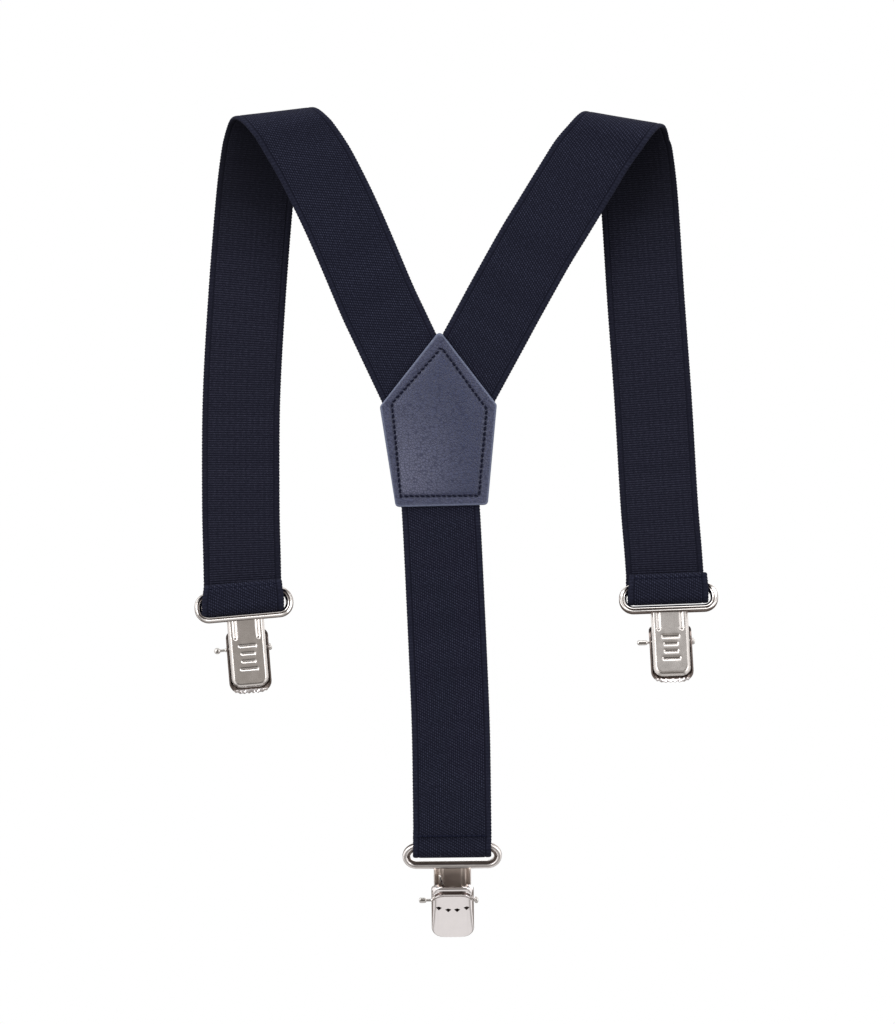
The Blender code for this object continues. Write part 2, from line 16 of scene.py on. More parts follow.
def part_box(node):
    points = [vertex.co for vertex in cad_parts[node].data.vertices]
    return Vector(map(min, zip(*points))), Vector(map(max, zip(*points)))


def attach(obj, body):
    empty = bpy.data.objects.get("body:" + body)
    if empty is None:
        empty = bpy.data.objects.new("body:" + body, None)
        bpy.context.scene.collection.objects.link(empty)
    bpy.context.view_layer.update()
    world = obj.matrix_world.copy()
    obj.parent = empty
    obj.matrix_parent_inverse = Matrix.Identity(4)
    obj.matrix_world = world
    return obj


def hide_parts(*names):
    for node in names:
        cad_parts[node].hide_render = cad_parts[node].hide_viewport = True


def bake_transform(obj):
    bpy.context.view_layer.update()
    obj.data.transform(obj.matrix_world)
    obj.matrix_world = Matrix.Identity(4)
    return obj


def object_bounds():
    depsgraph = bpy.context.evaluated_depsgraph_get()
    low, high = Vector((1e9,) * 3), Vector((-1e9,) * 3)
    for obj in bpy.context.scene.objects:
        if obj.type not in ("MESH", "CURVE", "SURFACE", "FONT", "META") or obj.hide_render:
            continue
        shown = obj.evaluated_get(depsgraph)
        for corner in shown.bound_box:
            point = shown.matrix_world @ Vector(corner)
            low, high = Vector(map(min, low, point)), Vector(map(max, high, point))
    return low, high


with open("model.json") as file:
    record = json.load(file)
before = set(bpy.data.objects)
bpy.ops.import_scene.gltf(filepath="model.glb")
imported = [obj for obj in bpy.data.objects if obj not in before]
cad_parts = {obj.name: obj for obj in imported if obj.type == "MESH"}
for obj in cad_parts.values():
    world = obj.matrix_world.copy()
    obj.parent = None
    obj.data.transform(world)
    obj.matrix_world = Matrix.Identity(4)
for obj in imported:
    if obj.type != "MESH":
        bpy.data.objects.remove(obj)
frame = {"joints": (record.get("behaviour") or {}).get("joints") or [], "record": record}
CAD_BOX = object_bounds()
MM = 0.001
JOINTS = {joint["name"]: joint for joint in frame["joints"]}
MOUNTS = {mount["name"]: mount for mount in frame["record"]["mounts"]}

# ---- dimensions, in mm
WEB_WIDTH = 25.0
WEB_THICK = 1.3
FOLD_RADIUS = 6.0  # half the depth of a shoulder's fold
FOLD_HEIGHT = 5.6  # of its crest
CREST_LEAN = 1.7  # how far a fold's crest leans outwards
ROW = 0.42  # length of one row of faces along a strap
SELVEDGE = 1.8  # width of the woven border
GROOVE_PLACE = WEB_WIDTH / 2 - SELVEDGE  # of the groove inside it, from the middle
SELVEDGE_PITCH = 1.05  # of its cross dashes and of its scalloped edge
SCALLOP = 0.10
TWILL_COLUMN = 0.66
TWILL_ROW = 0.92
TWILL_STEP = 0.38  # how much of a row each column lies below the last
TWILL_SLANT = 0.30
RIB_PITCH = 0.74
WARP_PITCH = 1.9
ROUTE_STEPS = 480
FOLD_STEPS = 40

# straps as (x, z, angle of the width line in degrees), along the CAD solids
LEFT_BACK = [(-49.9, 1.6, 13), (-46.0, -4.5, 18), (-42.3, -10.9, 21), (-35.9, -23.7, 24),
             (-30.2, -36.5, 24), (-23.4, -52.6, 24.5), (-18.9, -62.2, 25), (-8.3, -84.6, 25),
             (-4.6, -92.6, 25)]
LEFT_FRONT = [(-59.8, 1.6, 0), (-61.1, -5.1, -3), (-62.9, -20.5, -4.5), (-65.4, -52.6, -4.5),
              (-67.1, -84.6, -1), (-67.3, -116.7, 0), (-66.9, -136.0, 2), (-66.6, -150.0, 5)]
RIGHT_BACK = [(50.0, -0.3, -17), (45.4, -6.3, -22), (41.0, -13.4, -26), (32.7, -27.0, -29.5),
              (26.9, -36.5, -29.5), (17.9, -52.6, -29), (12.7, -62.2, -28.7), (0.5, -84.6, -28.7),
              (-2.6, -90.3, -28.7)]
RIGHT_FRONT = [(58.2, -0.3, -2), (59.3, -5.1, 2), (61.0, -20.5, 4.5), (63.1, -52.6, 4.5),
               (65.4, -84.6, 4.2), (67.3, -116.7, 3.5), (68.7, -134.0, 2.5), (69.8, -150.0, 2)]
BACK = [(-3.6, -110.0, 3), (-2.9, -119.9, 3.2), (-2.2, -132.7, 3.2), (-0.7, -164.7, 2.8),
        (0.3, -190.0, 1.5), (0.7, -216.0, 0.8), (0.8, -228.0, 0.6)]
MITRE_X = -3.4  # where the two side straps meet inside the patch
MITRE_GAP = 0.1
# folded ends: bend below the bar, top above it, distance between the layers, widening at the ring
ENDS = {
    "left": {"angle": 5.0, "drop": 6.5, "tab_top": 3.8, "spacing": 3.6, "spread": 0.055},
    "right": {"angle": 2.0, "drop": 5.5, "tab_top": 4.6, "spacing": 3.6, "spread": 0.035},
    "back": {"angle": 0.6, "drop": 3.5, "tab_top": 5.4, "spacing": 1.8, "spread": 0.0},
}
BAR_CLEAR = 1.4  # height over the bar where the folded end starts to close
HEM_FLAT = 1.6  # length of the folded end that lies flat
TAIL_TOP = 1.7  # height over the bar where the end tucked into a folded end stops
HEM_MARGIN = 1.5
HEM_COUNT = 14
# hem stitches of the outer clips and of the back one: below the top, radius, length
HEMS = {"outer": (1.4, 0.17, 0.9), "back": (1.8, 0.32, 1.5)}
LOOP_RADIUS = 2.05
SHOULDER_SEAM = -14.0  # height where a shoulder piece meets the front strap
BACK_SEAM = -135.0
# how far above and below its hinge a strap bends, at the shoulder and at the patch
FOLD_BEND = (2.5, 4.5)
BACK_BEND = (0.9, 5)
SPREAD_START = 2.0  # how far above the ring the webbing starts to widen
STRETCH_START = 4  # how far below a seam the stretching part starts
STRETCH_END = 2  # how far above the folded end it stops

PATCH_CORNERS = [(-3.3, -62.6), (15.0, -86.3), (12.1, -118.3), (-17.3, -119.0), (-22.4, -86.9)]
SEAM_CORNERS = [(-2.7, -68.1), (11.7, -87.6), (9.3, -115.3), (-15.7, -115.6), (-18.5, -86.0)]
PATCH_RADIUS = 1.3
LEATHER_THICK = 1.0
PATCH_GAP = 0.3
STITCH_INSET = 3.3  # of the seam inside the rim, on average
STITCH_PITCH = 1.72
STITCH_LENGTH = 1.3
STITCH_DIP = 0.22  # how deep a stitch's ends dive into the work
STITCH_LEAN = 0.16
STITCH_WOBBLE = 0.05
THREAD_RADIUS = 0.25
OUTLINE_POINTS = 240
SEAM_POINTS = 2400
HIGHLIGHT_REACH = (26, 46)  # across and up, of the painted highlight that lightens the lower left corner
# distances of the leather's rings of points from its rim
INSETS = [0.0, 0.05, 0.12, 0.22, 0.35, 0.5, 0.8, 1.2, 1.7, 2.2, 2.5, 2.75, 2.95, 3.1, 3.2, 3.3,
          3.4, 3.5, 3.65, 3.85, 4.1, 4.5, 5.0, 5.7, 6.5, 7.5, 8.6, 9.8, 11.0, 12.2, 13.2]


# ---- node helpers
class Nodes:
    """Short names for the nodes that the materials and the world are made of."""

    def __init__(self, tree):
        self.tree = tree

    def put(self, socket, value):
        if isinstance(value, bpy.types.NodeSocket):
            self.tree.links.new(value, socket)
        else:
            socket.default_value = value

    def add(self, kind, output, inputs, **settings):
        """A new node with the settings and inputs given; returns the output asked for."""
        node = self.tree.nodes.new("ShaderNode" + kind)
        for name, value in settings.items():
            setattr(node, name, value)
        for socket, value in inputs.items():
            self.put(node.inputs[socket], value)
        return node.outputs[output]

    def math(self, operation, *values):
        return self.add("Math", 0, dict(enumerate(values)), operation=operation)

    def ramp(self, value, low, high, to_low=0.0, to_high=1.0):
        """A smooth step that runs from to_low at low to to_high at high."""
        return self.add("MapRange", 0, {"Value": value, "From Min": low, "From Max": high,
                                        "To Min": to_low, "To Max": to_high},
                        interpolation_type="SMOOTHSTEP")

    def split(self, vector):
        """The three numbers of a vector."""
        node = self.tree.nodes.new("ShaderNodeSeparateXYZ")
        self.put(node.inputs[0], vector)
        return node.outputs

    def attribute(self, name):
        return self.add("Attribute", "Vector", {}, attribute_name=name)

    def place(self):
        return self.add("TexCoord", "Object", {})

    def noise(self, vector, scale, detail=2.0, roughness=0.5):
        return self.add("TexNoise", "Fac", {"Vector": vector, "Scale": scale, "Detail": detail,
                                            "Roughness": roughness})

    def cells(self, vector, scale):
        """The distance to the nearest border between cells."""
        return self.add("TexVoronoi", "Distance", {"Vector": vector, "Scale": scale},
                        feature="DISTANCE_TO_EDGE")

    def stretch(self, vector, scale):
        return self.add("VectorMath", 0, {0: vector, 1: scale}, operation="MULTIPLY")

    def between(self, factor, first, second):
        """A number between two others; the mix node's float inputs are 0, 2 and 3."""
        return self.add("Mix", 0, {0: factor, 2: first, 3: second})

    def mix(self, factor, first, second):
        """A colour between two others; the mix node's colours are inputs 6 and 7, output 2."""
        return self.add("Mix", 2, {0: factor, 6: first, 7: second}, data_type="RGBA")

    def bump(self, height, distance, strength):
        return self.add("Bump", 0, {"Height": height, "Distance": distance, "Strength": strength})


class Painter(Nodes):
    """The nodes of one material, with its Principled shader."""

    def __init__(self, name):
        self.material = bpy.data.materials.new(name)
        self.material.use_nodes = True
        super().__init__(self.material.node_tree)
        self.shader = self.tree.nodes["Principled BSDF"]

    def finish(self, **inputs):
        for name, value in inputs.items():
            self.put(self.shader.inputs[name.replace("_", " ")], value)
        return self.material


def wave(paint, value, pitch):
    """A smooth wave from 0 to 1 with the pitch given, in mm."""
    turns = paint.math("MULTIPLY", value, 2 * pi / pitch)
    return paint.math("MULTIPLY_ADD", paint.math("COSINE", turns), -0.5, 0.5)


# ---- materials
def webbing_material():
    """Elastic webbing: twill on the outer face, cross ribs on the inner one, dense selvedges, with painted
    shade in the hollows of the shoulder folds and in the selvedge grooves.
    """
    paint = Painter("navy_webbing")
    vector = paint.attribute("weave")
    across, along, side = paint.split(vector)
    u = paint.math("MULTIPLY", across, 1 / MM)
    v = paint.math("MULTIPLY", along, 1 / MM)
    off_middle = paint.math("ABSOLUTE", u)
    outer = paint.ramp(side, -0.1, 0.1)
    # outer face: columns of slanting floats, each column a little lower than the last
    column = paint.math("DIVIDE", u, TWILL_COLUMN)
    index = paint.math("FLOOR", column)
    within = paint.math("FRACT", column)
    rise = paint.math("MULTIPLY_ADD", v, 1 / TWILL_ROW, paint.math("MULTIPLY", index, TWILL_STEP))
    rise = paint.math("MULTIPLY_ADD", within, TWILL_SLANT, rise)
    floats = paint.math("MULTIPLY", wave(paint, within, 1.0), wave(paint, rise, 1.0))
    # inner face: a rib across every pick, crossed by faint warp columns
    warp = paint.ramp(wave(paint, u, WARP_PITCH), 0.0, 1.0, 0.72, 1.0)
    ribs = paint.math("MULTIPLY", wave(paint, v, RIB_PITCH), warp)
    # selvedge: short cross dashes, and a groove inside it
    border = paint.ramp(off_middle, GROOVE_PLACE - 0.25, GROOVE_PLACE + 0.15)
    dashes = paint.math("MULTIPLY_ADD", wave(paint, v, SELVEDGE_PITCH), 0.18, 0.14)
    height = paint.between(border, paint.between(outer, ribs, floats), dashes)
    # groove: painted shade that darkens the groove inside each selvedge; it also flattens the relief there
    offset = paint.math("SUBTRACT", off_middle, GROOVE_PLACE)
    groove = paint.ramp(paint.math("ABSOLUTE", offset), 0.08, 0.42, 0.12, 1.0)
    fuzz = paint.noise(paint.stretch(vector, (1500.0, 900.0, 1.0)), 1.0, 3.0, 0.6)
    bands = paint.noise(paint.stretch(vector, (14.0, 120.0, 1.0)), 1.0, 2.0)
    dark = paint.mix(outer, (0.0085, 0.0090, 0.0180, 1), (0.0076, 0.0082, 0.0172, 1))
    light = paint.mix(outer, (0.0360, 0.0370, 0.0620, 1), (0.0515, 0.0565, 0.0985, 1))
    amount = paint.math("MULTIPLY", height, paint.ramp(fuzz, 0.25, 0.8, 0.35, 1.25))
    amount = paint.math("MULTIPLY", amount, paint.ramp(bands, 0.3, 0.7, 0.85, 1.1))
    colour = paint.mix(paint.math("MULTIPLY", amount, groove), dark, light)
    # painted shade: the inner face darker in the hollow of each shoulder's fold
    colour = paint.mix(paint.split(paint.attribute("shade"))[0], colour, (0.0045, 0.0046, 0.0070, 1))
    relief = paint.math("MULTIPLY_ADD", fuzz, 0.25, paint.math("MULTIPLY", height, groove))
    return paint.finish(Base_Color=colour, Roughness=0.85, Specular_IOR_Level=0.06,
                        Sheen_Weight=0.012, Sheen_Roughness=0.5,
                        Normal=paint.bump(relief, 0.00022, 0.8))


def leather_material():
    """Semi-gloss grained leather with worn, lighter edges, painted shade in the groove along the seam, a
    lighter margin and a painted highlight towards the lower left corner.
    """
    paint = Painter("navy_leather")
    place = paint.place()
    groove, worn, pale_and_highlight = paint.split(paint.attribute("seam"))
    grain = paint.cells(place, 1250.0)
    pores = paint.noise(place, 4200.0, 3.0, 0.6)
    crease = paint.noise(paint.stretch(place, (260.0, 260.0, 700.0)), 1.0, 3.0, 0.6)
    # lighter on the margin, and inside the seam a painted highlight towards the lower left corner
    base = paint.mix(pale_and_highlight, (0.042, 0.052, 0.114, 1), (0.130, 0.138, 0.222, 1))
    base = paint.mix(paint.ramp(grain, 0.0, 0.23, 0.76, 0.0), base, (0.022, 0.026, 0.060, 1))
    # painted shade in the pressed groove along the seam
    base = paint.mix(paint.ramp(groove, 0.0, 1.0, 0.0, 0.2), base, (0.018, 0.020, 0.045, 1))
    base = paint.mix(paint.ramp(worn, 0.0, 1.0, 0.0, 0.8), base, (0.150, 0.175, 0.270, 1))
    relief = paint.math("MULTIPLY_ADD", pores, 0.45, paint.ramp(grain, 0.0, 0.2))
    relief = paint.math("MULTIPLY_ADD", crease, 0.5, relief)
    gloss = paint.ramp(crease, 0.2, 0.8, 0.36, 0.46)
    return paint.finish(Base_Color=base, Roughness=gloss, Specular_IOR_Level=0.50,
                        Normal=paint.bump(relief, 0.00009, 0.85))


def raw_leather_material():
    """The cut edge and the fibrous back of the leather."""
    paint = Painter("navy_leather_edge")
    place = paint.place()
    fibre = paint.noise(place, 1800.0, 4.0, 0.7)
    base = paint.mix(fibre, (0.030, 0.035, 0.065, 1), (0.075, 0.085, 0.140, 1))
    return paint.finish(Base_Color=base, Roughness=0.75, Normal=paint.bump(fibre, 0.00008, 0.8))


def thread_material():
    """Twisted sewing thread."""
    paint = Painter("navy_thread")
    place = paint.place()
    twist = paint.noise(paint.stretch(place, (3800.0, 1500.0, 3800.0)), 1.0, 2.0)
    base = paint.mix(twist, (0.0030, 0.0036, 0.0110, 1), (0.0100, 0.0120, 0.0330, 1))
    return paint.finish(Base_Color=base, Roughness=0.75, Specular_IOR_Level=0.1,
                        Normal=paint.bump(twist, 0.00008, 0.7))


def nickel_material(name, tint, roughness, spread):
    """Plated steel: faint orange peel, rolling marks and small dull patches."""
    paint = Painter(name)
    place = paint.place()
    peel = paint.noise(place, 900.0, 3.0, 0.5)
    rolled = paint.noise(paint.stretch(place, (2600.0, 2600.0, 160.0)), 1.0, 2.0, 0.6)
    dull = paint.noise(place, 260.0, 3.0, 0.6)
    base = paint.mix(dull, [0.90 * value for value in tint] + [1], list(tint) + [1])
    gloss = paint.ramp(paint.math("MULTIPLY_ADD", rolled, 0.4, dull), 0.3, 1.1, roughness - spread,
                       roughness + spread)
    relief = paint.math("MULTIPLY_ADD", rolled, 0.35, peel)
    return paint.finish(Base_Color=base, Metallic=1.0, Roughness=gloss,
                        Normal=paint.bump(relief, 0.00001, 0.25))


MATERIALS = {
    "webbing": webbing_material(),
    "leather": leather_material(),
    "raw_leather": raw_leather_material(),
    "thread": thread_material(),
    "nickel": nickel_material("bright_nickel", (0.82, 0.79, 0.77), 0.10, 0.03),
    "satin": nickel_material("satin_nickel", (0.74, 0.705, 0.685), 0.27, 0.06),
    # the plate's face towards the jaw: a rougher copy of the nickel, tinted lighter as painted light
    "inner_nickel": nickel_material("inner_nickel", (0.95, 0.84, 0.77), 0.42, 0.05),
    "lip_nickel": nickel_material("lip_nickel", (0.91, 0.87, 0.86), 0.36, 0.04),
    # painted dark reflections: a near-black copy of the nickel in bands along the jaw's bead
    "painted_dark_reflection": nickel_material("shaded_nickel", (0.10, 0.075, 0.07), 0.30, 0.04),
    "nickel_jaw": nickel_material("jaw_nickel", (0.91, 0.87, 0.875), 0.14, 0.03),
    # painted shade: a darker copy of the nickel, for the ring's land, step and underside and the jaw's
    # inner face and rims
    "painted_shade_nickel": nickel_material("painted_shade_nickel", (0.23, 0.19, 0.175), 0.34, 0.05),
    "steel": nickel_material("spring_steel", (0.70, 0.68, 0.66), 0.20, 0.05),
}


# ---- mesh helpers
def mesh_object(name, points, faces, *materials):
    """A smooth-shaded mesh object from points in mm."""
    mesh = bpy.data.meshes.new(name)
    mesh.from_pydata([tuple(MM * value for value in point) for point in points], [], faces)
    for material in materials:
        mesh.materials.append(MATERIALS[material])
    mesh.shade_smooth()
    made = bpy.data.objects.new(name, mesh)
    bpy.context.scene.collection.objects.link(made)
    return made


def sharpen(piece, degrees):
    """Sharp edges where two faces meet at more than the angle."""
    piece.data.set_sharp_from_angle(angle=radians(degrees))


def store(piece, name, values):
    """Three numbers at each point of a piece, for its material to read."""
    stored = piece.data.attributes.new(name, "FLOAT_VECTOR", "POINT")
    stored.data.foreach_set("vector", np.array(values, dtype=np.float32).ravel())


def math_bell(value):
    """A flat-topped bump, 1 at 0 and nearly 0 beyond 2."""
    return 1 / (1 + value**4) if abs(value) < 4 else 0.0


def math_step(value):
    """A smooth step from 0 to 1."""
    value = min(max(value, 0.0), 1.0)
    return value * value * (3 - 2 * value)


def grid_faces(across, down):
    """The faces of a grid of points, given in rows."""
    faces = []
    for row in range(down):
        for column in range(across):
            first = row * (across + 1) + column
            faces.append((first, first + 1, first + across + 2, first + across + 1))
    return faces


def tube_rings(rings, cyclic=False):
    """Points and faces that join a list of rings of equal size; the ends are closed."""
    size = len(rings[0])
    points = [point for ring in rings for point in ring]
    faces = []
    count = len(rings)
    for row in range(count if cyclic else count - 1):
        below = row * size
        above = ((row + 1) % count) * size
        for side in range(size):
            ahead = (side + 1) % size
            faces.append((below + side, below + ahead, above + ahead, above + side))
    if not cyclic:
        faces.append(tuple(range(size))[::-1])
        faces.append(tuple((count - 1) * size + side for side in range(size)))
    return points, faces


def outward(piece):
    """Turn the faces of a closed mesh outwards."""
    bm = bmesh.new()
    bm.from_mesh(piece.data)
    bmesh.ops.recalc_face_normals(bm, faces=bm.faces)
    bm.to_mesh(piece.data)
    bm.free()
    return piece


def round_wire(name, path, radius, material, sides, flatten=None):
    """A wire through points in mm; flatten(share) gives the two half thicknesses there."""
    path = [Vector(point) for point in path]
    count = len(path)
    rings = []
    reference = Vector((0.0, 0.0, 1.0))
    for index, point in enumerate(path):
        along = path[min(index + 1, count - 1)] - path[max(index - 1, 0)]
        along.normalize()
        if index == 0 and abs(along.dot(reference)) > 0.9:
            reference = Vector((0.0, 1.0, 0.0))
        normal = (reference - along * reference.dot(along)).normalized()
        reference = normal
        binormal = along.cross(normal)
        one, two = flatten(index / (count - 1)) if flatten else (radius, radius)
        rings.append([point + normal * one * cos(2 * pi * side / sides)
                      + binormal * two * sin(2 * pi * side / sides) for side in range(sides)])
    return outward(mesh_object(name, *tube_rings(rings), material))


def smooth_route(points, share):
    """A point on a Catmull-Rom curve through the points, at a share of their count."""
    last = len(points) - 1
    place = min(max(share, 0.0), 1.0) * last
    index = min(int(place), last - 1)
    t = place - index
    result = []
    rows = (points[max(index - 1, 0)], points[index], points[index + 1],
            points[min(index + 2, last)])
    for p0, p1, p2, p3 in zip(*rows):
        result.append(
            (2 * t**3 - 3 * t**2 + 1) * p1 + (t**3 - 2 * t**2 + t) * (p2 - p0) / 2
            + (3 * t**2 - 2 * t**3) * p2 + (t**3 - t**2) * (p3 - p1) / 2
        )
    return result


# ---- webbing
def route_down(points, y, top=None, bottom=None):
    """Stations (x, y, z, angle) down a strap, finely spaced, between two heights."""
    rows = []
    for step in range(ROUTE_STEPS + 1):
        x, z, degrees = smooth_route(points, step / ROUTE_STEPS)
        rows.append((x, y, z, radians(degrees)))
    heights = [-row[2] for row in rows]
    for height, keep_below in ((top, True), (bottom, False)):
        if height is None:
            continue
        cut = tuple(float(np.interp(-height, heights, [row[k] for row in rows])) for k in range(4))
        if keep_below:
            rows = [cut] + [row for row in rows if row[2] < height - 1e-6]
        else:
            rows = [row for row in rows if row[2] > height + 1e-6] + [cut]
        heights = [-row[2] for row in rows]
    return rows


def route_over(back, front, first, last):
    """Stations over a shoulder; first and last are shares of the half turn."""
    x1, z1, a1 = back[0]
    x2, z2, a2 = front[0]
    lean = CREST_LEAN if x2 > 0 else -CREST_LEAN
    rows = []
    for step in range(FOLD_STEPS + 1):
        share = first + (last - first) * step / FOLD_STEPS
        x = x1 + (x2 - x1) * share + lean * sin(pi * share)
        base = z1 + (z2 - z1) * share
        angle = radians(a1 + (a2 - a1) * share)
        rows.append((x, -FOLD_RADIUS * cos(pi * share), base + FOLD_HEIGHT * sin(pi * share), angle))
    return rows


def folded_end(side, plane):
    """An end's sizes, the middle of its clip's bar, its angle, and the way its outer face looks."""
    end = ENDS[side]
    bar = Vector(JOINTS[f"{side}_clip_swing"]["pos_m"]) / MM
    return end, bar, radians(end["angle"]), 1.0 if plane > 0 else -1.0


def route_end(side, plane, start):
    """Stations from the strap's lower end, round the clip's bar and up the folded end."""
    end, bar, angle, facing = folded_end(side, plane)
    bend_z = bar.z - (end["drop"] - LOOP_RADIUS - WEB_THICK / 2)
    rows = []
    for step in range(1, 9):
        share = step / 8
        ease = math_step(share)
        rows.append((start[0] + (bar.x - start[0]) * ease, plane, start[2] + (bend_z - start[2]) * share,
                     start[3] + (angle - start[3]) * ease))
    middle = plane - facing * LOOP_RADIUS
    for step in range(1, 25):
        turn = pi * step / 24
        rows.append((bar.x, middle + facing * LOOP_RADIUS * cos(turn),
                     bend_z - LOOP_RADIUS * sin(turn), angle))
    top = bar.z + end["tab_top"]
    lower, closed = bar.z + BAR_CLEAR, top - HEM_FLAT
    near, far = plane - facing * end["spacing"], plane - facing * 2 * LOOP_RADIUS
    for step in range(25):
        share = step / 24
        ease = math_step(share)
        rows.append((bar.x, far + (near - far) * ease, lower + (closed - lower) * share, angle))
    if facing < 0:
        rows.append((bar.x, near, top, angle))
        return rows
    turn_in = end["spacing"] / 4
    for step in range(1, 17):
        turn = pi * step / 16
        rows.append((bar.x, near + turn_in * (1 - cos(turn)),
                     top - turn_in - WEB_THICK / 2 + turn_in * sin(turn), angle))
    rows.append((bar.x, near + 2 * turn_in, bar.z + TAIL_TOP, angle))
    return rows


def resample(rows):
    """Stations at even distances along the route, with the distance as a fifth value."""
    places = np.array([row[:3] for row in rows])
    steps = np.linalg.norm(np.diff(places, axis=0), axis=1)
    keep = np.concatenate(([True], steps > 1e-6))
    table = np.array(rows)[keep]
    distance = np.concatenate(([0.0], np.cumsum(steps[steps > 1e-6])))
    count = max(int(round(distance[-1] / ROW)), 2)
    wanted = np.linspace(0.0, distance[-1], count + 1)
    columns = [np.interp(wanted, distance, table[:, k]) for k in range(4)]
    return list(zip(*columns, wanted))


def webbing_profile():
    """Half of the woven cross-section: (distance across, half thickness) from edge to edge."""
    half, groove = WEB_WIDTH / 2, GROOVE_PLACE
    rim = [(half, 0.0), (half - 0.05, 0.25), (half - 0.2, 0.46), (half - 0.5, 0.58),
           (half - 1.0, 0.62), (groove + 0.45, 0.62), (groove + 0.2, 0.57), (groove, 0.48),
           (groove - 0.2, 0.56), (groove - 0.5, 0.63)]
    inner = [(groove - 0.5 - step * (groove - 0.5) / 5, 0.65) for step in range(1, 6)]
    right = rim + inner
    return right + [(-u, h) for u, h in right[-2::-1]]


PROFILE = webbing_profile()


def fold_shade(point, side):
    """Painted shade in the hollow of a shoulder's fold: how much darker the inner face is there."""
    depth = math_step((point.z + 48) / 44) * math_step((point.y - 1.0) / 4)
    return (0.62 * depth if side < 0 else 0.0, 0.0, 0.0)


def strap(name, rows, start=0.0, across_sign=1, limit=None, spread=None):
    """Webbing along the stations, with its weave coordinates; start is the length before it.

    limit is the side of the mitre inside the patch that the webbing stops at. spread is the height
    where the ring starts to widen the webbing, and by what share it does.
    """
    stations = resample(rows)
    rings = []
    weave = []
    count = len(stations)
    section = PROFILE + [(u, -h) for u, h in PROFILE[-2:0:-1]]
    for index, (x, y, z, angle, distance) in enumerate(stations):
        before = stations[max(index - 1, 0)]
        after = stations[min(index + 1, count - 1)]
        along = Vector([after[k] - before[k] for k in range(3)]).normalized()
        across = Vector((cos(angle), 0.0, sin(angle))) * across_sign
        normal = across.cross(along).normalized()
        centre = Vector((x, y, z))
        length = start + distance
        wider = 1 + spread[1] * math_step((spread[0] - z) / 6) if spread else 1.0
        ring = []
        for u, h in section:
            edge = max(0.0, abs(u) - (WEB_WIDTH / 2 - 0.3)) / 0.3
            scallop = SCALLOP * edge * cos(2 * pi * length / SELVEDGE_PITCH)
            reach = u + scallop * (1 if u > 0 else -1)
            point = centre + across * reach * wider
            if limit == "right" and point.x > MITRE_X - MITRE_GAP:
                point += across * ((MITRE_X - MITRE_GAP - point.x) / across.x)
            if limit == "left" and point.x < MITRE_X + MITRE_GAP:
                point += across * ((MITRE_X + MITRE_GAP - point.x) / across.x)
            ring.append(point + normal * h)
            weave.append((u * MM, length * MM, 1.0 if h > 0.3 else -1.0 if h < -0.3 else 0.0))
        rings.append(ring)
    piece = mesh_object(name, *tube_rings(rings), "webbing")
    store(piece, "weave", weave)
    # the painted shade of the shoulder folds, for the material to read
    store(piece, "shade", [fold_shade(point.co / MM, side)
                           for point, (_, _, side) in zip(piece.data.vertices, weave)])
    outward(piece)
    sharpen(piece, 60)
    return piece, stations[-1][4]


def webbing(name, rows, rests_on, nodes, bodies, start=0.0, **shape):
    """One piece of webbing, attached to its body when bodies holds only one.

    Otherwise bodies holds two bodies and the places where a blend between them would start and end; the
    piece then only keeps its place, and nothing blends it.
    """
    piece, length = strap(name, rows, start, **shape)
    if nodes:
        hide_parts(*nodes)
    if len(bodies) == 1:
        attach(piece, *bodies)
    else:
        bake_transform(piece)
    return length


def fold_ends(side, above, below):
    """Where a strap's bend starts and ends, from the swing joint in mm."""
    hinge = Vector(JOINTS[f"{side}_strap_swing"]["pos_m"])
    return hinge + Vector((0, 0, above * MM)), hinge - Vector((0, 0, below * MM))


def stretch_ends(side, seam):
    """Where a strap's stretching part starts and ends; seam is the height of its top in mm."""
    tab_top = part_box(f"{side}_end_loop")[1].z
    return (0, 0, (seam - STRETCH_START) * MM), (0, 0, tab_top + STRETCH_END * MM)


def side_webbing(side, back, front, limit):
    """The patch-to-shoulder, shoulder and front pieces of one side strap."""
    strap_body = f"{side}_strap"
    bound = route_down(back, -FOLD_RADIUS)[::-1]
    arc = route_over(back, front, 0.0, 0.5)
    start = webbing(f"{side}_back_strap", bound + arc[1:], "leather_patch",
                    [f"{side}_back_webbing"], ["yoke"], limit=limit)
    over = route_over(back, front, 0.5, 1.0)
    descent = route_down(front, FOLD_RADIUS, bottom=SHOULDER_SEAM)
    start += webbing(f"{side}_shoulder_strap", over + descent[1:], f"{side}_back_strap", [],
                     ["yoke", strap_body, *fold_ends(side, *FOLD_BEND)], start)
    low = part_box(f"{side}_front_webbing")[0].z / MM
    lower = route_down(front, FOLD_RADIUS, top=SHOULDER_SEAM, bottom=low)
    webbing(f"{side}_front_strap", lower + route_end(side, FOLD_RADIUS, lower[-1]),
            f"{side}_clip_ring", [f"{side}_front_webbing", f"{side}_end_loop"],
            [strap_body, f"{side}_strap_end", *stretch_ends(side, SHOULDER_SEAM)], start,
            spread=(low + SPREAD_START, ENDS[side]["spread"]))


def back_webbing():
    """The strap from the patch down to the back clip, in two pieces."""
    upper = route_down(BACK, -FOLD_RADIUS, bottom=BACK_SEAM)
    start = webbing("back_strap_top", upper, "leather_patch", ["back_webbing_anchor"],
                    ["yoke", "back_strap", *fold_ends("back", *BACK_BEND)], across_sign=-1)
    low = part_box("back_webbing")[0].z / MM
    lower = route_down(BACK, -FOLD_RADIUS, top=BACK_SEAM, bottom=low)
    webbing("back_strap_bottom", lower + route_end("back", -FOLD_RADIUS, lower[-1]),
            "back_clip_ring", ["back_webbing", "back_end_loop"],
            ["back_strap", "back_strap_end", *stretch_ends("back", BACK_SEAM)], start,
            across_sign=-1)


# ---- leather patch
def corner(points, index):
    """A corner, the directions to the ones before and after it, and half the angle there."""
    here = points[index]
    back = (points[index - 1] - here).normalized()
    ahead = (points[(index + 1) % len(points)] - here).normalized()
    return here, back, ahead, back.angle(ahead) / 2


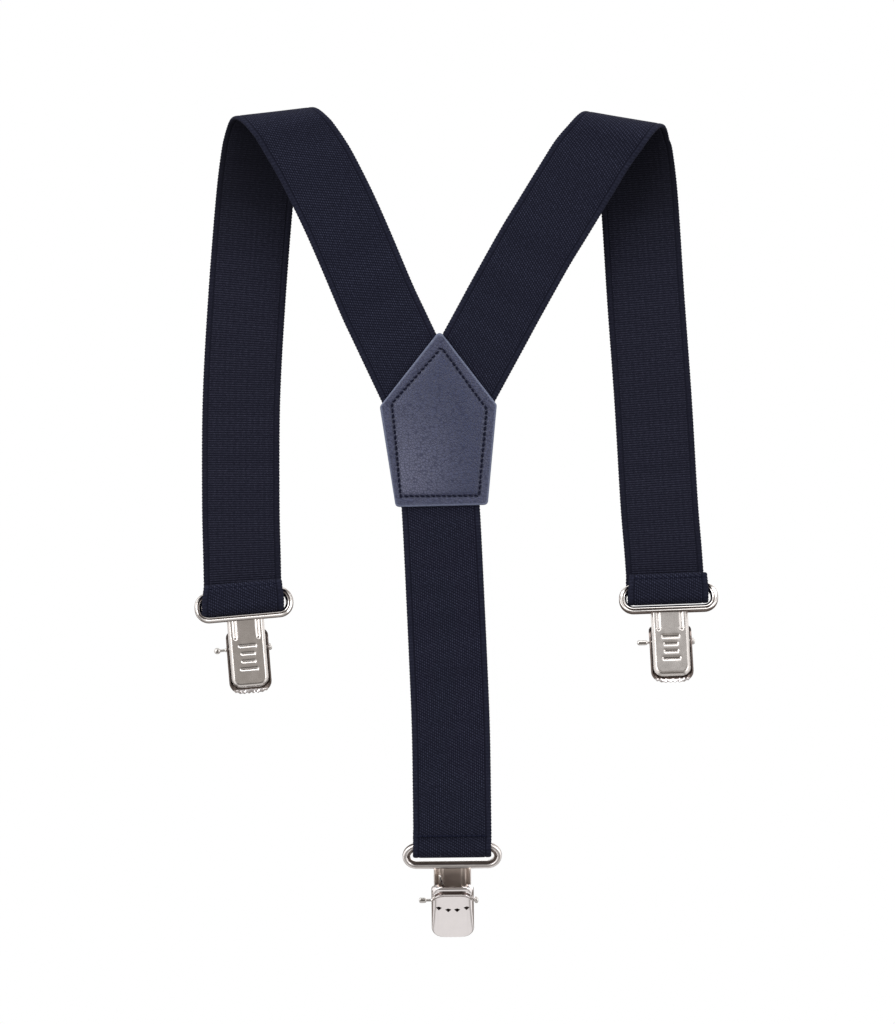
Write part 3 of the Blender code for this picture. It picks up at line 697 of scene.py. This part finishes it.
def inset_outline(inset, count=OUTLINE_POINTS):
    """Points round the patch's rounded outline at a distance inside its rim, and their perimeter."""
    share = min(inset / STITCH_INSET, 1.0)
    corners = [Vector(rim).lerp(Vector(seam), share) for rim, seam in zip(PATCH_CORNERS, SEAM_CORNERS)]
    beyond = max(inset - STITCH_INSET, 0.0)
    moved = []
    for index in range(len(corners)):
        here, back, ahead, half_angle = corner(corners, index)
        moved.append(here + (back + ahead).normalized() * (beyond / sin(half_angle)))
    radius = max(PATCH_RADIUS - inset * 0.35, 0.35)
    outline = []
    for index in range(len(moved)):
        here, back, ahead, half_angle = corner(moved, index)
        reach = min(radius / tan(half_angle), 0.3 * (moved[index - 1] - here).length)
        bend = reach * tan(half_angle)
        centre = here + (back + ahead).normalized() * (bend / sin(half_angle))
        first = here + back * reach - centre
        last = here + ahead * reach - centre
        for step in range(9):
            outline.append(centre + first.lerp(last, step / 8).normalized() * bend)
    outline.append(outline[0])
    lengths = [0.0]
    for one, two in zip(outline, outline[1:]):
        lengths.append(lengths[-1] + (two - one).length)
    wanted = [lengths[-1] * step / count for step in range(count)]
    xs = np.interp(wanted, lengths, [point.x for point in outline])
    zs = np.interp(wanted, lengths, [point.y for point in outline])
    return list(zip(xs, zs)), lengths[-1]


def leather_height(inset):
    """Rise of the leather's face above its rim, in mm: rounded rim, pressed seam, puffed middle."""
    rim = 0.32 * sqrt(max(0.0, 1 - max(0.0, 1 - inset / 0.45) ** 2)) - 0.32
    seam = -0.16 * math_bell((inset - STITCH_INSET) / 0.62)
    puff = 0.80 * (1 - exp(-max(inset - STITCH_INSET, 0.0) / 2.6))
    bank = 0.07 * math_bell((inset - 1.7) / 1.1)
    return rim + seam + puff + bank


def leather(name, y, outside, node):
    """One leather, y at its middle, its finished face on the side given by outside."""
    rings = []
    seam = []
    highlight_corner = Vector(SEAM_CORNERS[3])
    half = LEATHER_THICK / 2
    for inset in (0.5, 0.0):
        outline, _ = inset_outline(inset)
        rings.append([(x, y - outside * half + (0.0 if inset else outside * 0.15), z) for x, z in outline])
        seam += [(0.0, 0.6, 0.0)] * len(outline)
    for inset in INSETS:
        outline, _ = inset_outline(inset)
        face = y + outside * (half + leather_height(inset) - 0.04)
        rings.append([(x, face, z) for x, z in outline])
        # press: how strongly the painted shade darkens the pressed groove
        press = math_bell((inset - STITCH_INSET) / 0.45)
        worn = math_bell((inset - 0.2) / 0.35)
        puffed = math_step((inset - STITCH_INSET) / 1.2)
        for x, z in outline:
            # third number: lighter on the margin, and inside the seam a painted highlight fading away from
            # the lower left corner
            away = Vector(((x - highlight_corner.x) / HIGHLIGHT_REACH[0], (z - highlight_corner.y) / HIGHLIGHT_REACH[1])).length
            seam.append((press, worn, 0.25 * (1 - puffed) + puffed * (1 - math_step(away))))
    points, faces = tube_rings(rings)
    piece = mesh_object(name, points, faces, "leather", "raw_leather")
    store(piece, "seam", seam)
    count = len(rings[0])
    for face in piece.data.polygons:
        if face.index < 2 * count or face.index == len(faces) - 2:
            face.material_index = 1
    outward(piece)
    sharpen(piece, 50)
    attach(piece, "yoke")
    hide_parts(node)


def stitch(centre, along, outwards, length, radius=THREAD_RADIUS):
    """Points and faces of one stitch: a short thread whose ends dive into the work."""
    rings = []
    side = along.cross(outwards).normalized()
    for step in range(9):
        share = step / 8 * 2 - 1
        rise = radius * 0.9 - (radius + STITCH_DIP) * abs(share) ** 3.2
        point = centre + along * (share * length / 2) + outwards * rise
        thick = radius * (1 - 0.35 * abs(share) ** 4)
        slope = (-(radius + STITCH_DIP) * 3.2 * abs(share) ** 2.2
                 * (1 if share > 0 else -1)) / (length / 2)
        tangent = (along + outwards * slope).normalized()
        up = (outwards - tangent * outwards.dot(tangent)).normalized()
        rings.append([point + up * thick * cos(2 * pi * k / 8) + side * thick * sin(2 * pi * k / 8)
                      for k in range(8)])
    return tube_rings(rings)


def gather(name, parts, material):
    """One piece from many small closed meshes."""
    points, faces = [], []
    for more_points, more_faces in parts:
        base = len(points)
        points += more_points
        faces += [tuple(base + k for k in face) for face in more_faces]
    return outward(mesh_object(name, points, faces, material))


def patch_stitches(front_y, back_y):
    """The seam round the patch, on both faces."""
    parts = []
    outline, perimeter = inset_outline(STITCH_INSET, SEAM_POINTS)
    total = int(round(perimeter / STITCH_PITCH))
    for face, facing in ((front_y, -1), (back_y, 1)):
        for index in range(total):
            place = (index + (0.5 if facing > 0 else 0.0)) / total * SEAM_POINTS
            here = Vector(outline[int(place) % SEAM_POINTS])
            ahead = Vector(outline[(int(place) + 12) % SEAM_POINTS])
            direction = (ahead - here).normalized()
            along = Vector((direction.x, 0.0, direction.y))
            lean = along.cross(Vector((0, facing, 0))) * STITCH_LEAN
            wobble = STITCH_WOBBLE * sin(index * 12.9898)
            centre = Vector((here.x, face, here.y)) + along.cross(Vector((0, 1, 0))) * wobble
            parts.append(stitch(centre, (along + lean).normalized(), Vector((0, facing, 0)),
                                STITCH_LENGTH * (1 + 0.06 * sin(index * 78.233))))
    piece = gather("patch_stitches", parts, "thread")
    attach(piece, "yoke")
    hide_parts("patch_stitching")


def hem_stitches(side, plane):
    """The row of stitches that closes a folded end, on both of its faces."""
    end, bar, angle, facing = folded_end(side, plane)
    across = Vector((cos(angle), 0.0, sin(angle)))
    inset, radius, length = HEMS["outer" if facing > 0 else "back"]
    faces = [(plane - facing * (end["spacing"] + WEB_THICK / 2 - 0.03), -facing),
             (plane + facing * (WEB_THICK / 2 - 0.03), facing)]
    parts = []
    for y, direction in faces:
        for index in range(HEM_COUNT):
            reach = (index + 0.5) / HEM_COUNT * 2 - 1
            centre = Vector((bar.x, y, bar.z + end["tab_top"] - inset))
            centre += across * reach * (WEB_WIDTH / 2 - HEM_MARGIN)
            parts.append(stitch(centre, across, Vector((0, direction, 0)), length, radius))
    piece = gather(f"{side}_hem_stitches", parts, "thread")
    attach(piece, f"{side}_strap_end")
    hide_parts(f"{side}_hem_stitching")


# ---- clips, in mm on the clip's own axes
RING_ROD = 1.2  # half the ring's thickness
RING_WIDTH = 31.8
RING_HEIGHTS = {"left": 9.8, "right": 9.8, "back": 8.6}
RING_DEPTH = 0.7  # of its land on the jaw's side, from its middle plane
RING_CORNER = 3.4
# its back as (outwards, depth): a lip, a step, a second lip and an underside
RING_BACK = [(-1.2, -0.15), (-1.12, -0.30), (-0.35, -0.84), (-0.22, -0.86), (-0.14, -0.78),
             (-0.10, -0.58), (-0.02, -0.56), (0.10, -0.62), (0.72, -1.06), (0.88, -1.08), (1.0, -1.0),
             (1.2, -0.45)]
RING_LIP_FACES = 12  # round its section, the faces of the lip towards the jaw
RING_SHADED_FACES = (12, 13, 19, 20, 21, 25, 26)  # and those of the land, the step and the underside, which take painted shade
PLATE_HALF = 5.85
PLATE_THICK = 0.8
PLATE_RISE = 2.7  # of the plate's top over the ring's foot
PLATE_BOTTOM = -30.0
PLATE_CORNER = 3.0
PLATE_ROLL = 1.15  # how far its edges roll towards the jaw
NECK_FILLET = 1.2
RIB_X = 3.7
RIB_END = -14.4
RIB_RISE = 0.40
RIB_DOT = 0.62  # radius of the dimple at a rib's end
# the plain mark on the outer clips' plates: heights and half lengths of its bars
BARS = ((-16.9, 2.9), (-19.4, 2.3), (-21.9, 2.3), (-24.4, 2.9))
BAR_RISE = 0.42
PIN_Y = 3.1
PIN_Z = -17.5
PIN_RADIUS = 0.6
NECK_RADIUS = 0.45  # beside its knob
RIVET_HALF = 0.6  # half the length of its other head
PIN_RINGS = 140
KNOB_DEPTH = 0.72  # half its thickness, towards the plate and away
EAR = (0.7, 4.2, 5.0)  # a wall inside the jaw
EAR_PLACE = (5.42, 2.3)  # its distance from the middle and off the plate
JAW_HALF = 6.8
JAW_THICK = 0.5
JAW_SQUARE = 2 / 4.2  # power that squares its section
BEAD_RISE = 0.95
DARK_REFLECTION_HALF = 5.7  # half the length of the bands of painted dark reflection along the bead
DARK_REFLECTION_BANDS = ((0.30, 1.0), (-0.95, -0.50))  # their edges, above the bead's middle
FLUTE_RIDGE = 0.036
FLUTE_PITCH = 1.45
TEETH = {"left": 0.22, "right": 0.22, "back": 0.04}  # depth of the wave along the jaw's tip
# its section at each height: height, crown, depth where the walls' rounding starts
JAW_ROWS = [(-11.3, 6.95, 4.4), (-12.4, 6.65, 3.3), (-14.6, 6.15, 1.9), (-16.2, 5.8, 1.4),
            (-20.5, 4.8, 1.0), (-31.9, 1.35, 0.9)]
DIAMONDS = ((-4.45, -19.5), (-1.42, -20.2), (1.42, -20.2), (4.45, -19.5))
DIAMOND_OUTLINE = [(1.0, 0.18), (0.0, 0.64), (-1.0, 0.18), (0.0, -0.92)]
DIAMOND_DEPTHS = (3.6, 8.5)
JAW_TOP = JAW_ROWS[0][0]
JAW_BOTTOM = JAW_ROWS[-1][0]
SPRING_RADIUS = 1.45
SPRING_WIRE = 0.35
SPRING_PITCH = 0.95
SPRING_TURNS = 4
SPRING_PLATE_LEG = (4.1, 1.4, 8.2)  # its end: across, off the plate, above the pin
SPRING_JAW_LEG = (0.3, 3.2)  # its end: beyond the turns, above the pin
# pins as (side of the long end, its knob's middle, the rivet head's middle, knob's length and height)
PINS = {"left": (-1, 9.9, -7.1, 2.1, 2.0), "right": (-1, 9.0, -7.2, 3.4, 1.7),
        "back": (1, 9.6, -7.6, 2.4, 1.8)}


def clip_place(side):
    """The clip's own axes in the frame: x along the bar, y towards the jaw, z up the plate."""
    joint = JOINTS[f"{side}_clip_swing"]
    across = Vector(joint["axis"]).normalized()
    depth = -Vector(MOUNTS[f"{side}_clip_plate"]["axis"]).normalized()
    up = across.cross(depth).normalized()
    place = Matrix((across, up.cross(across), up)).transposed().to_4x4()
    place.translation = Vector(joint["pos_m"])
    return place


def ring_path(total):
    """The middle line of the ring, from the middle of its top bar."""
    half = RING_WIDTH / 2 - RING_ROD
    height = total - 2 * RING_ROD
    radius = RING_CORNER
    path = []
    for cx, cz, first in ((half - radius, -radius, 90), (half - radius, radius - height, 0),
                          (radius - half, radius - height, -90), (radius - half, -radius, -180)):
        for step in range(13):
            turn = radians(first - 90 * step / 12)
            path.append(Vector((cx + radius * cos(turn), 0.0, cz + radius * sin(turn))))
    filled = []
    for one, two in zip(path, path[1:] + path[:1]):
        filled.append(one)
        parts = int((two - one).length / 1.2)
        for step in range(1, parts):
            filled.append(one.lerp(two, step / parts))
    return filled


def ring(name, height):
    """The rolled ring: a flat land and a round lip towards the jaw, two leaning lips on its back."""
    section = []
    for step in range(RING_LIP_FACES + 1):
        turn = pi * step / RING_LIP_FACES
        section.append((0.425 + 0.775 * cos(turn), RING_DEPTH + RING_ROD / 2 * sin(turn)))
    section += [(-0.88 * RING_ROD, RING_DEPTH), (-RING_ROD, RING_DEPTH - 0.15)]
    section += RING_BACK
    path = ring_path(height)
    middle = Vector((0.0, 0.0, RING_ROD - height / 2))
    rings = []
    for index, point in enumerate(path):
        along = (path[(index + 1) % len(path)] - path[index - 1]).normalized()
        outer = along.cross(Vector((0, 1, 0))).normalized()
        if outer.dot(point - middle) < 0:
            outer = -outer
        rings.append([point + outer * a + Vector((0, b, 0)) for a, b in section])
    points, faces = tube_rings(rings, cyclic=True)
    piece = outward(mesh_object(name, points, faces, "nickel", "painted_shade_nickel", "lip_nickel"))
    # The land, the step and the underside take the darker copy of the nickel: painted shade.
    for face in piece.data.polygons:
        side = face.index % len(section)
        if side in RING_SHADED_FACES:
            face.material_index = 1
        elif side < RING_LIP_FACES:
            face.material_index = 2
    sharpen(piece, 50)
    return piece


def plate_point(share_x, z, top, bars):
    """A point of the plate's front face; share_x runs from -1 to 1 across it."""
    drop = z - (PLATE_BOTTOM + PLATE_CORNER)
    half = PLATE_HALF
    if drop < 0:
        half = PLATE_HALF - PLATE_CORNER + sqrt(max(PLATE_CORNER**2 - drop**2, 0.0))
    flare = math_step((z - (top - 1.7)) / 1.7)
    half += NECK_FILLET * flare**2
    x = share_x * half
    inner_x = PLATE_HALF - PLATE_CORNER
    corner_x, corner_z = max(abs(x) - inner_x, 0.0), max(-drop, 0.0)
    if corner_x > 0 and corner_z > 0:
        edge = PLATE_CORNER - sqrt(corner_x**2 + corner_z**2)
    else:
        edge = min(half - abs(x), z - PLATE_BOTTOM)
    roll = PLATE_ROLL * (1 - math_step(edge / 1.25)) ** 1.6
    roll *= 1 - 0.8 * flare
    rib_ends = math_step((z - RIB_END) / 0.6) * math_step((top + 0.1 - z) / 0.5)
    rise = roll + RIB_RISE * math_bell((abs(x) - RIB_X) / 0.56) * rib_ends
    dot = sqrt((abs(x) - RIB_X) ** 2 + (z - RIB_END) ** 2)
    rise = max(rise, roll + RIB_DOT * sqrt(max(1 - (dot / RIB_DOT) ** 2, 0.0)))
    return x, rise + bar_emboss(x, z, bars), z


def bar_emboss(x, z, bars):
    """A plain generic mark: pressed bars across the plate."""
    rise = 0.0
    for centre, half in bars:
        reach = math_step((half + 0.3 - abs(x)) / 0.6)
        rise += BAR_RISE * math_bell((z - centre) / 0.45) * reach
    return rise


def plate(name, top, bars):
    """The stamped plate under the ring, with rolled edges and two ribs at its neck."""
    across, down = 72, 150
    points = []
    for row in range(down + 1):
        z = top + (PLATE_BOTTOM - top) * row / down
        for column in range(across + 1):
            share = sin((column / across * 2 - 1) * pi / 2 * 0.9) / sin(pi / 2 * 0.9)
            points.append(plate_point(share, z, top, bars))
    piece = mesh_object(name, points, grid_faces(across, down), "satin", "inner_nickel")
    thicken(piece, PLATE_THICK, 0.0, 0)
    # The face towards the jaw takes the lighter copy of the nickel: painted light.
    for face in piece.data.polygons:
        if face.normal.y > 0.3:
            face.material_index = 1
    return piece


def bake(piece):
    """Apply a piece's modifiers to its mesh."""
    bpy.context.view_layer.update()
    evaluated = piece.evaluated_get(bpy.context.evaluated_depsgraph_get())
    mesh = bpy.data.meshes.new_from_object(evaluated)
    piece.modifiers.clear()
    piece.data = mesh


def thicken(piece, thickness, offset, inner_material):
    """Give a sheet its thickness; inner_material is how far on its other face's material is."""
    shell = piece.modifiers.new("sheet", "SOLIDIFY")
    shell.thickness = thickness * MM
    shell.offset = offset
    shell.use_even_offset = True
    shell.material_offset = inner_material
    bake(piece)


def ears(name):
    """The two walls inside the jaw that hold the pin."""
    parts = []
    for side in (-1, 1):
        bm = bmesh.new()
        bmesh.ops.create_cube(bm, size=1.0)
        bmesh.ops.scale(bm, vec=EAR, verts=bm.verts)
        bmesh.ops.translate(bm, vec=(side * EAR_PLACE[0], EAR_PLACE[1], PIN_Z), verts=bm.verts)
        bmesh.ops.bevel(bm, geom=bm.edges[:], offset=0.18, segments=2, affect="EDGES")
        points = [vertex.co.copy() for vertex in bm.verts]
        faces = [tuple(vertex.index for vertex in face.verts) for face in bm.faces]
        bm.free()
        parts.append((points, faces))
    return gather(name, parts, "satin")


def jaw_row(z):
    """The jaw's crown and the depth of its walls at a height z."""
    heights, crowns, walls = zip(*JAW_ROWS[::-1])
    return float(np.interp(z, heights, crowns)), float(np.interp(z, heights, walls))


def bead_arch(x):
    """Height of the jaw's bead at a distance from its middle."""
    return -13.65 - 1.2 * (abs(x) / 5.4) ** 5


def jaw_point(turn, z, teeth):
    """A point of the jaw's outer face; turn runs from 0 to pi across it."""
    crown, wall = jaw_row(z)
    for corner, end, sign in ((2.4, JAW_TOP, -1), (3.6, JAW_BOTTOM, 1)):
        drop = sign * (z - end)
        if drop < corner:
            half_here = JAW_HALF - corner + sqrt(max(corner**2 - (corner - drop) ** 2, 0.0))
            break
    else:
        half_here = JAW_HALF
    crown -= 0.4 * max(1 - (JAW_TOP - z) / 0.8, 0.0) ** 2
    wall = min(wall, crown - 0.4)
    x = half_here * (1 if cos(turn) > 0 else -1) * abs(cos(turn)) ** JAW_SQUARE
    y = wall + (crown - wall) * abs(sin(turn)) ** JAW_SQUARE
    flat = math_step((5.9 - abs(x)) / 1.0)
    bead = BEAD_RISE * math_step(1 - abs(z - bead_arch(x)) / 1.25) * math_step((6.3 - abs(x)) / 0.9)
    flute = math_step((-20.6 - z) / 1.6) * math_step((z + 31.4) / 0.8)
    ridge = FLUTE_RIDGE * cos(2 * pi * x / FLUTE_PITCH) * flute * flat
    tooth = teeth * cos(2 * pi * x / FLUTE_PITCH) * math_step((JAW_BOTTOM + 2.0 - z) / 1.6) * flat
    return x, y + bead + ridge, z + tooth


def diamond_cutter():
    """Four lozenge prisms that pierce the jaw."""
    parts = []
    for x, z in DIAMONDS:
        parts.append(tube_rings([[Vector((x + a, y, z + b)) for a, b in DIAMOND_OUTLINE]
                                 for y in DIAMOND_DEPTHS]))
    return gather("diamond_cutter", parts, "satin")


def jaw(name, teeth):
    """The pressed jaw: bead, pierced lozenges, flutes and side walls."""
    across, down = 112, 150
    points = []
    for row in range(down + 1):
        share = row / down
        z = JAW_TOP + (JAW_BOTTOM - JAW_TOP) * share
        for column in range(across + 1):
            points.append(jaw_point(pi * column / across, z, teeth))
    piece = mesh_object(name, points, grid_faces(across, down), "painted_shade_nickel", "nickel_jaw", "painted_dark_reflection")
    # The jaw's inner face and rims take the darker copy of the nickel: painted shade. Faces near the tip
    # take the jaw's own nickel.
    thicken(piece, JAW_THICK, 1.0, 1)
    for face in piece.data.polygons:
        middle = face.center / MM
        over = middle.z - bead_arch(middle.x)
        if middle.z < JAW_BOTTOM + 1.2:
            face.material_index = 1
        # bands along the bead: painted dark reflections
        elif abs(middle.x) < DARK_REFLECTION_HALF and any(low < over < high for low, high in DARK_REFLECTION_BANDS):
            face.material_index = 2
    cutter = diamond_cutter()
    cut = piece.modifiers.new("lozenges", "BOOLEAN")
    cut.object = cutter
    cut.operation = "DIFFERENCE"
    cut.solver = "EXACT"
    bake(piece)
    bpy.data.objects.remove(cutter, do_unlink=True)
    sharpen(piece, 40)
    return piece


def pin(name, side):
    """The hinge pin: a rod with a flattened knob on its long end and a rivet head on the other."""
    long_side, reach, stop, knob, height = PINS[side]
    first, last = stop - RIVET_HALF, reach + knob / 2
    path = [(long_side * (first + (last - first) * step / PIN_RINGS), PIN_Y, PIN_Z)
            for step in range(PIN_RINGS + 1)]

    def thickness(share):
        x = first + (last - first) * share
        if x > last - knob:
            off_middle = abs((x - last + knob / 2) / (knob / 2))
            bulge = sqrt(max(1 - off_middle ** (2 if knob < height * 1.3 else 6), 0.01))
            least = NECK_RADIUS if x < last - knob / 2 else 0.0
            return max(height / 2 * bulge, least), max(KNOB_DEPTH * bulge, least)
        if x < first + 2 * RIVET_HALF:
            rim = 0.5 + 0.6 * sqrt(max(1 - ((x - first - RIVET_HALF) / RIVET_HALF) ** 2, 0.02))
            return rim, rim
        return (NECK_RADIUS, NECK_RADIUS) if x > last - knob - 1.6 else (PIN_RADIUS, PIN_RADIUS)

    return round_wire(name, path, PIN_RADIUS, "steel", 20, flatten=thickness)


def coil_path(side):
    """The torsion spring's wire from its plate leg through its turns."""
    across, off_plate, above = SPRING_PLATE_LEG
    width = SPRING_TURNS * SPRING_PITCH
    mirror = -PINS[side][0]
    first = Vector((-width / 2, PIN_Y - SPRING_RADIUS, PIN_Z))
    tip = Vector((-across, off_plate, PIN_Z + above))
    path = [tip.lerp(first, step / 10) for step in range(10)]
    count = int((SPRING_TURNS - 0.5) * 24)
    for step in range(count + 1):
        turn = 2 * pi * step / 24 + pi
        path.append(Vector((-width / 2 + width * step / count, PIN_Y + SPRING_RADIUS * cos(turn),
                            PIN_Z + SPRING_RADIUS * sin(turn))))
    return [Vector((mirror * point.x, point.y, point.z)) for point in path]


def jaw_leg_path(side):
    """The spring's other leg, which presses on the jaw."""
    beyond, above = SPRING_JAW_LEG
    x = -PINS[side][0] * SPRING_TURNS * SPRING_PITCH / 2
    reach = -PINS[side][0] * beyond
    return [(x + reach * step / 9, PIN_Y + SPRING_RADIUS, PIN_Z + above * step / 9)
            for step in range(10)]


def build_clip(side, bars):
    """One clip: every piece is placed on the clip's axes and rides on the clip or its jaw."""
    place = clip_place(side)
    clip_body, jaw_body = f"{side}_clip", f"{side}_jaw"
    height = RING_HEIGHTS[side]

    def wire(name, path):
        return round_wire(name, path, SPRING_WIRE, "steel", 10)

    for piece, body, slot, node in (
            (ring(f"{side}_clip_ring", height), clip_body, "nickel", "clip_frame"),
            (plate(f"{side}_clip_plate", PLATE_RISE - height, bars), clip_body, "nickel", None),
            (ears(f"{side}_clip_ears"), clip_body, "nickel", None),
            (pin(f"{side}_pin", side), clip_body, "steel", "clip_pin"),
            (wire(f"{side}_spring", coil_path(side)), clip_body, "steel", "clip_spring"),
            (wire(f"{side}_spring_leg", jaw_leg_path(side)), jaw_body, "steel", None),
            (jaw(f"{side}_jaw", TEETH[side]), jaw_body, "nickel", "clip_jaw")):
        piece.matrix_world = place
        bpy.context.view_layer.update()
        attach(piece, body)
        if node:
            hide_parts(f"{side}_{node}")


# ---- stage, camera and lights
CAMERA_DISTANCE = 1.5
CAMERA_SHIFT = (-0.0028, 0.0034)
HEIGHT_SHARE = 0.814  # of the picture's height that the object takes up
# the studio's brightness by height, from straight below to straight above
STUDIO = [(-1.0, 0.84), (-0.90, 0.80), (-0.80, 0.30), (-0.66, 0.22), (-0.50, 0.06), (-0.32, 0.06),
          (-0.14, 0.36), (0.34, 0.40), (0.46, 0.15), (0.58, 0.26), (0.68, 0.50), (0.80, 0.80),
          (0.9, 1.2)]
# name, place, width and height, power
LIGHTS = [("key", (-1.1, -1.1, 0.45), (0.9, 1.0), 8.5), ("fill", (1.2, -0.9, 0.15), (0.6, 1.1), 4.0),
          ("top", (0.0, -0.35, 1.15), (1.4, 0.5), 5.0), ("back", (0.5, 1.3, 0.4), (1.1, 1.0), 6.0)]


def make_camera():
    """A long lens level with the object, behind the wearer."""
    low, high = CAD_BOX
    data = bpy.data.cameras.new("camera")
    data.sensor_fit = "AUTO"
    data.sensor_width = 36.0
    data.lens = data.sensor_width * CAMERA_DISTANCE / ((high - low).z / HEIGHT_SHARE)
    camera = bpy.data.objects.new("camera", data)
    bpy.context.scene.collection.objects.link(camera)
    centre = (low + high) / 2
    camera.location = (centre.x + CAMERA_SHIFT[0], -CAMERA_DISTANCE, centre.z + CAMERA_SHIFT[1])
    camera.rotation_euler = (radians(90), 0, 0)
    data.clip_start = 0.05
    data.clip_end = 20
    bpy.context.scene.camera = camera


def area_light(name, place, size, power, target):
    """A soft white light that the camera doesn't see."""
    data = bpy.data.lights.new(name, "AREA")
    data.shape = "RECTANGLE"
    data.size, data.size_y = size
    data.energy = power
    light = bpy.data.objects.new(name, data)
    light.location = place
    direction = Vector(target) - Vector(place)
    light.visible_camera = False
    light.rotation_euler = direction.to_track_quat("-Z", "Y").to_euler()
    bpy.context.scene.collection.objects.link(light)


def make_world():
    """Pure white to the camera; for light and reflections a studio with bright and dark zones."""
    world = bpy.data.worlds.new("studio")
    bpy.context.scene.world = world
    world.use_nodes = True
    nodes = Nodes(world.node_tree)
    x, y, z = nodes.split(nodes.add("TexCoord", "Generated", {}))
    ramp = nodes.tree.nodes.new("ShaderNodeValToRGB")
    for index, (place, value) in enumerate(STUDIO):
        stop = ramp.color_ramp.elements[index] if index < 2 else ramp.color_ramp.elements.new(1.0)
        stop.position = (place + 1) / 2
        warm = 0.93 if value < 0.5 else 0.98
        stop.color = (value, value * warm, value * warm * warm, 1.0)
    nodes.put(ramp.inputs[0], nodes.math("MULTIPLY_ADD", z, 0.5, 0.5))
    banks = nodes.math("MULTIPLY", nodes.ramp(nodes.math("ABSOLUTE", x), 0.42, 0.72),
                       nodes.ramp(z, -0.85, -0.60))
    sides = nodes.mix(banks, ramp.outputs[0], (1.15, 1.13, 1.11, 1))
    under = nodes.math("MULTIPLY", nodes.ramp(y, 0.20, 0.50), nodes.ramp(z, 0.02, -0.16))
    studio = nodes.mix(under, sides, (0.24, 0.21, 0.19, 1))
    rays = nodes.add("LightPath", "Is Camera Ray", {})
    nodes.put(nodes.tree.nodes["Background"].inputs["Color"], nodes.mix(rays, studio, (1, 1, 1, 1)))


def make_lights():
    """The studio's lights, all aimed at the middle of the object."""
    low, high = CAD_BOX
    for light in LIGHTS:
        area_light(*light, (low + high) / 2)
    bpy.context.scene.view_settings.view_transform = "Standard"


# ---- build
make_camera()
make_world()
make_lights()
offset = WEB_THICK / 2 + PATCH_GAP + LEATHER_THICK / 2
leather("leather_patch", -FOLD_RADIUS - offset, -1, "leather_patch_front")
leather("leather_patch_lining", -FOLD_RADIUS + offset, 1, "leather_patch_back")
seam_face = offset + LEATHER_THICK / 2 + leather_height(STITCH_INSET)
patch_stitches(-FOLD_RADIUS - seam_face, -FOLD_RADIUS + seam_face)
side_webbing("left", LEFT_BACK, LEFT_FRONT, limit="right")
side_webbing("right", RIGHT_BACK, RIGHT_FRONT, limit="left")
back_webbing()
for side_name, plane_y in (("left", FOLD_RADIUS), ("right", FOLD_RADIUS), ("back", -FOLD_RADIUS)):
    hem_stitches(side_name, plane_y)
for side_name, mark in (("left", BARS), ("right", BARS), ("back", ())):
    build_clip(side_name, mark)
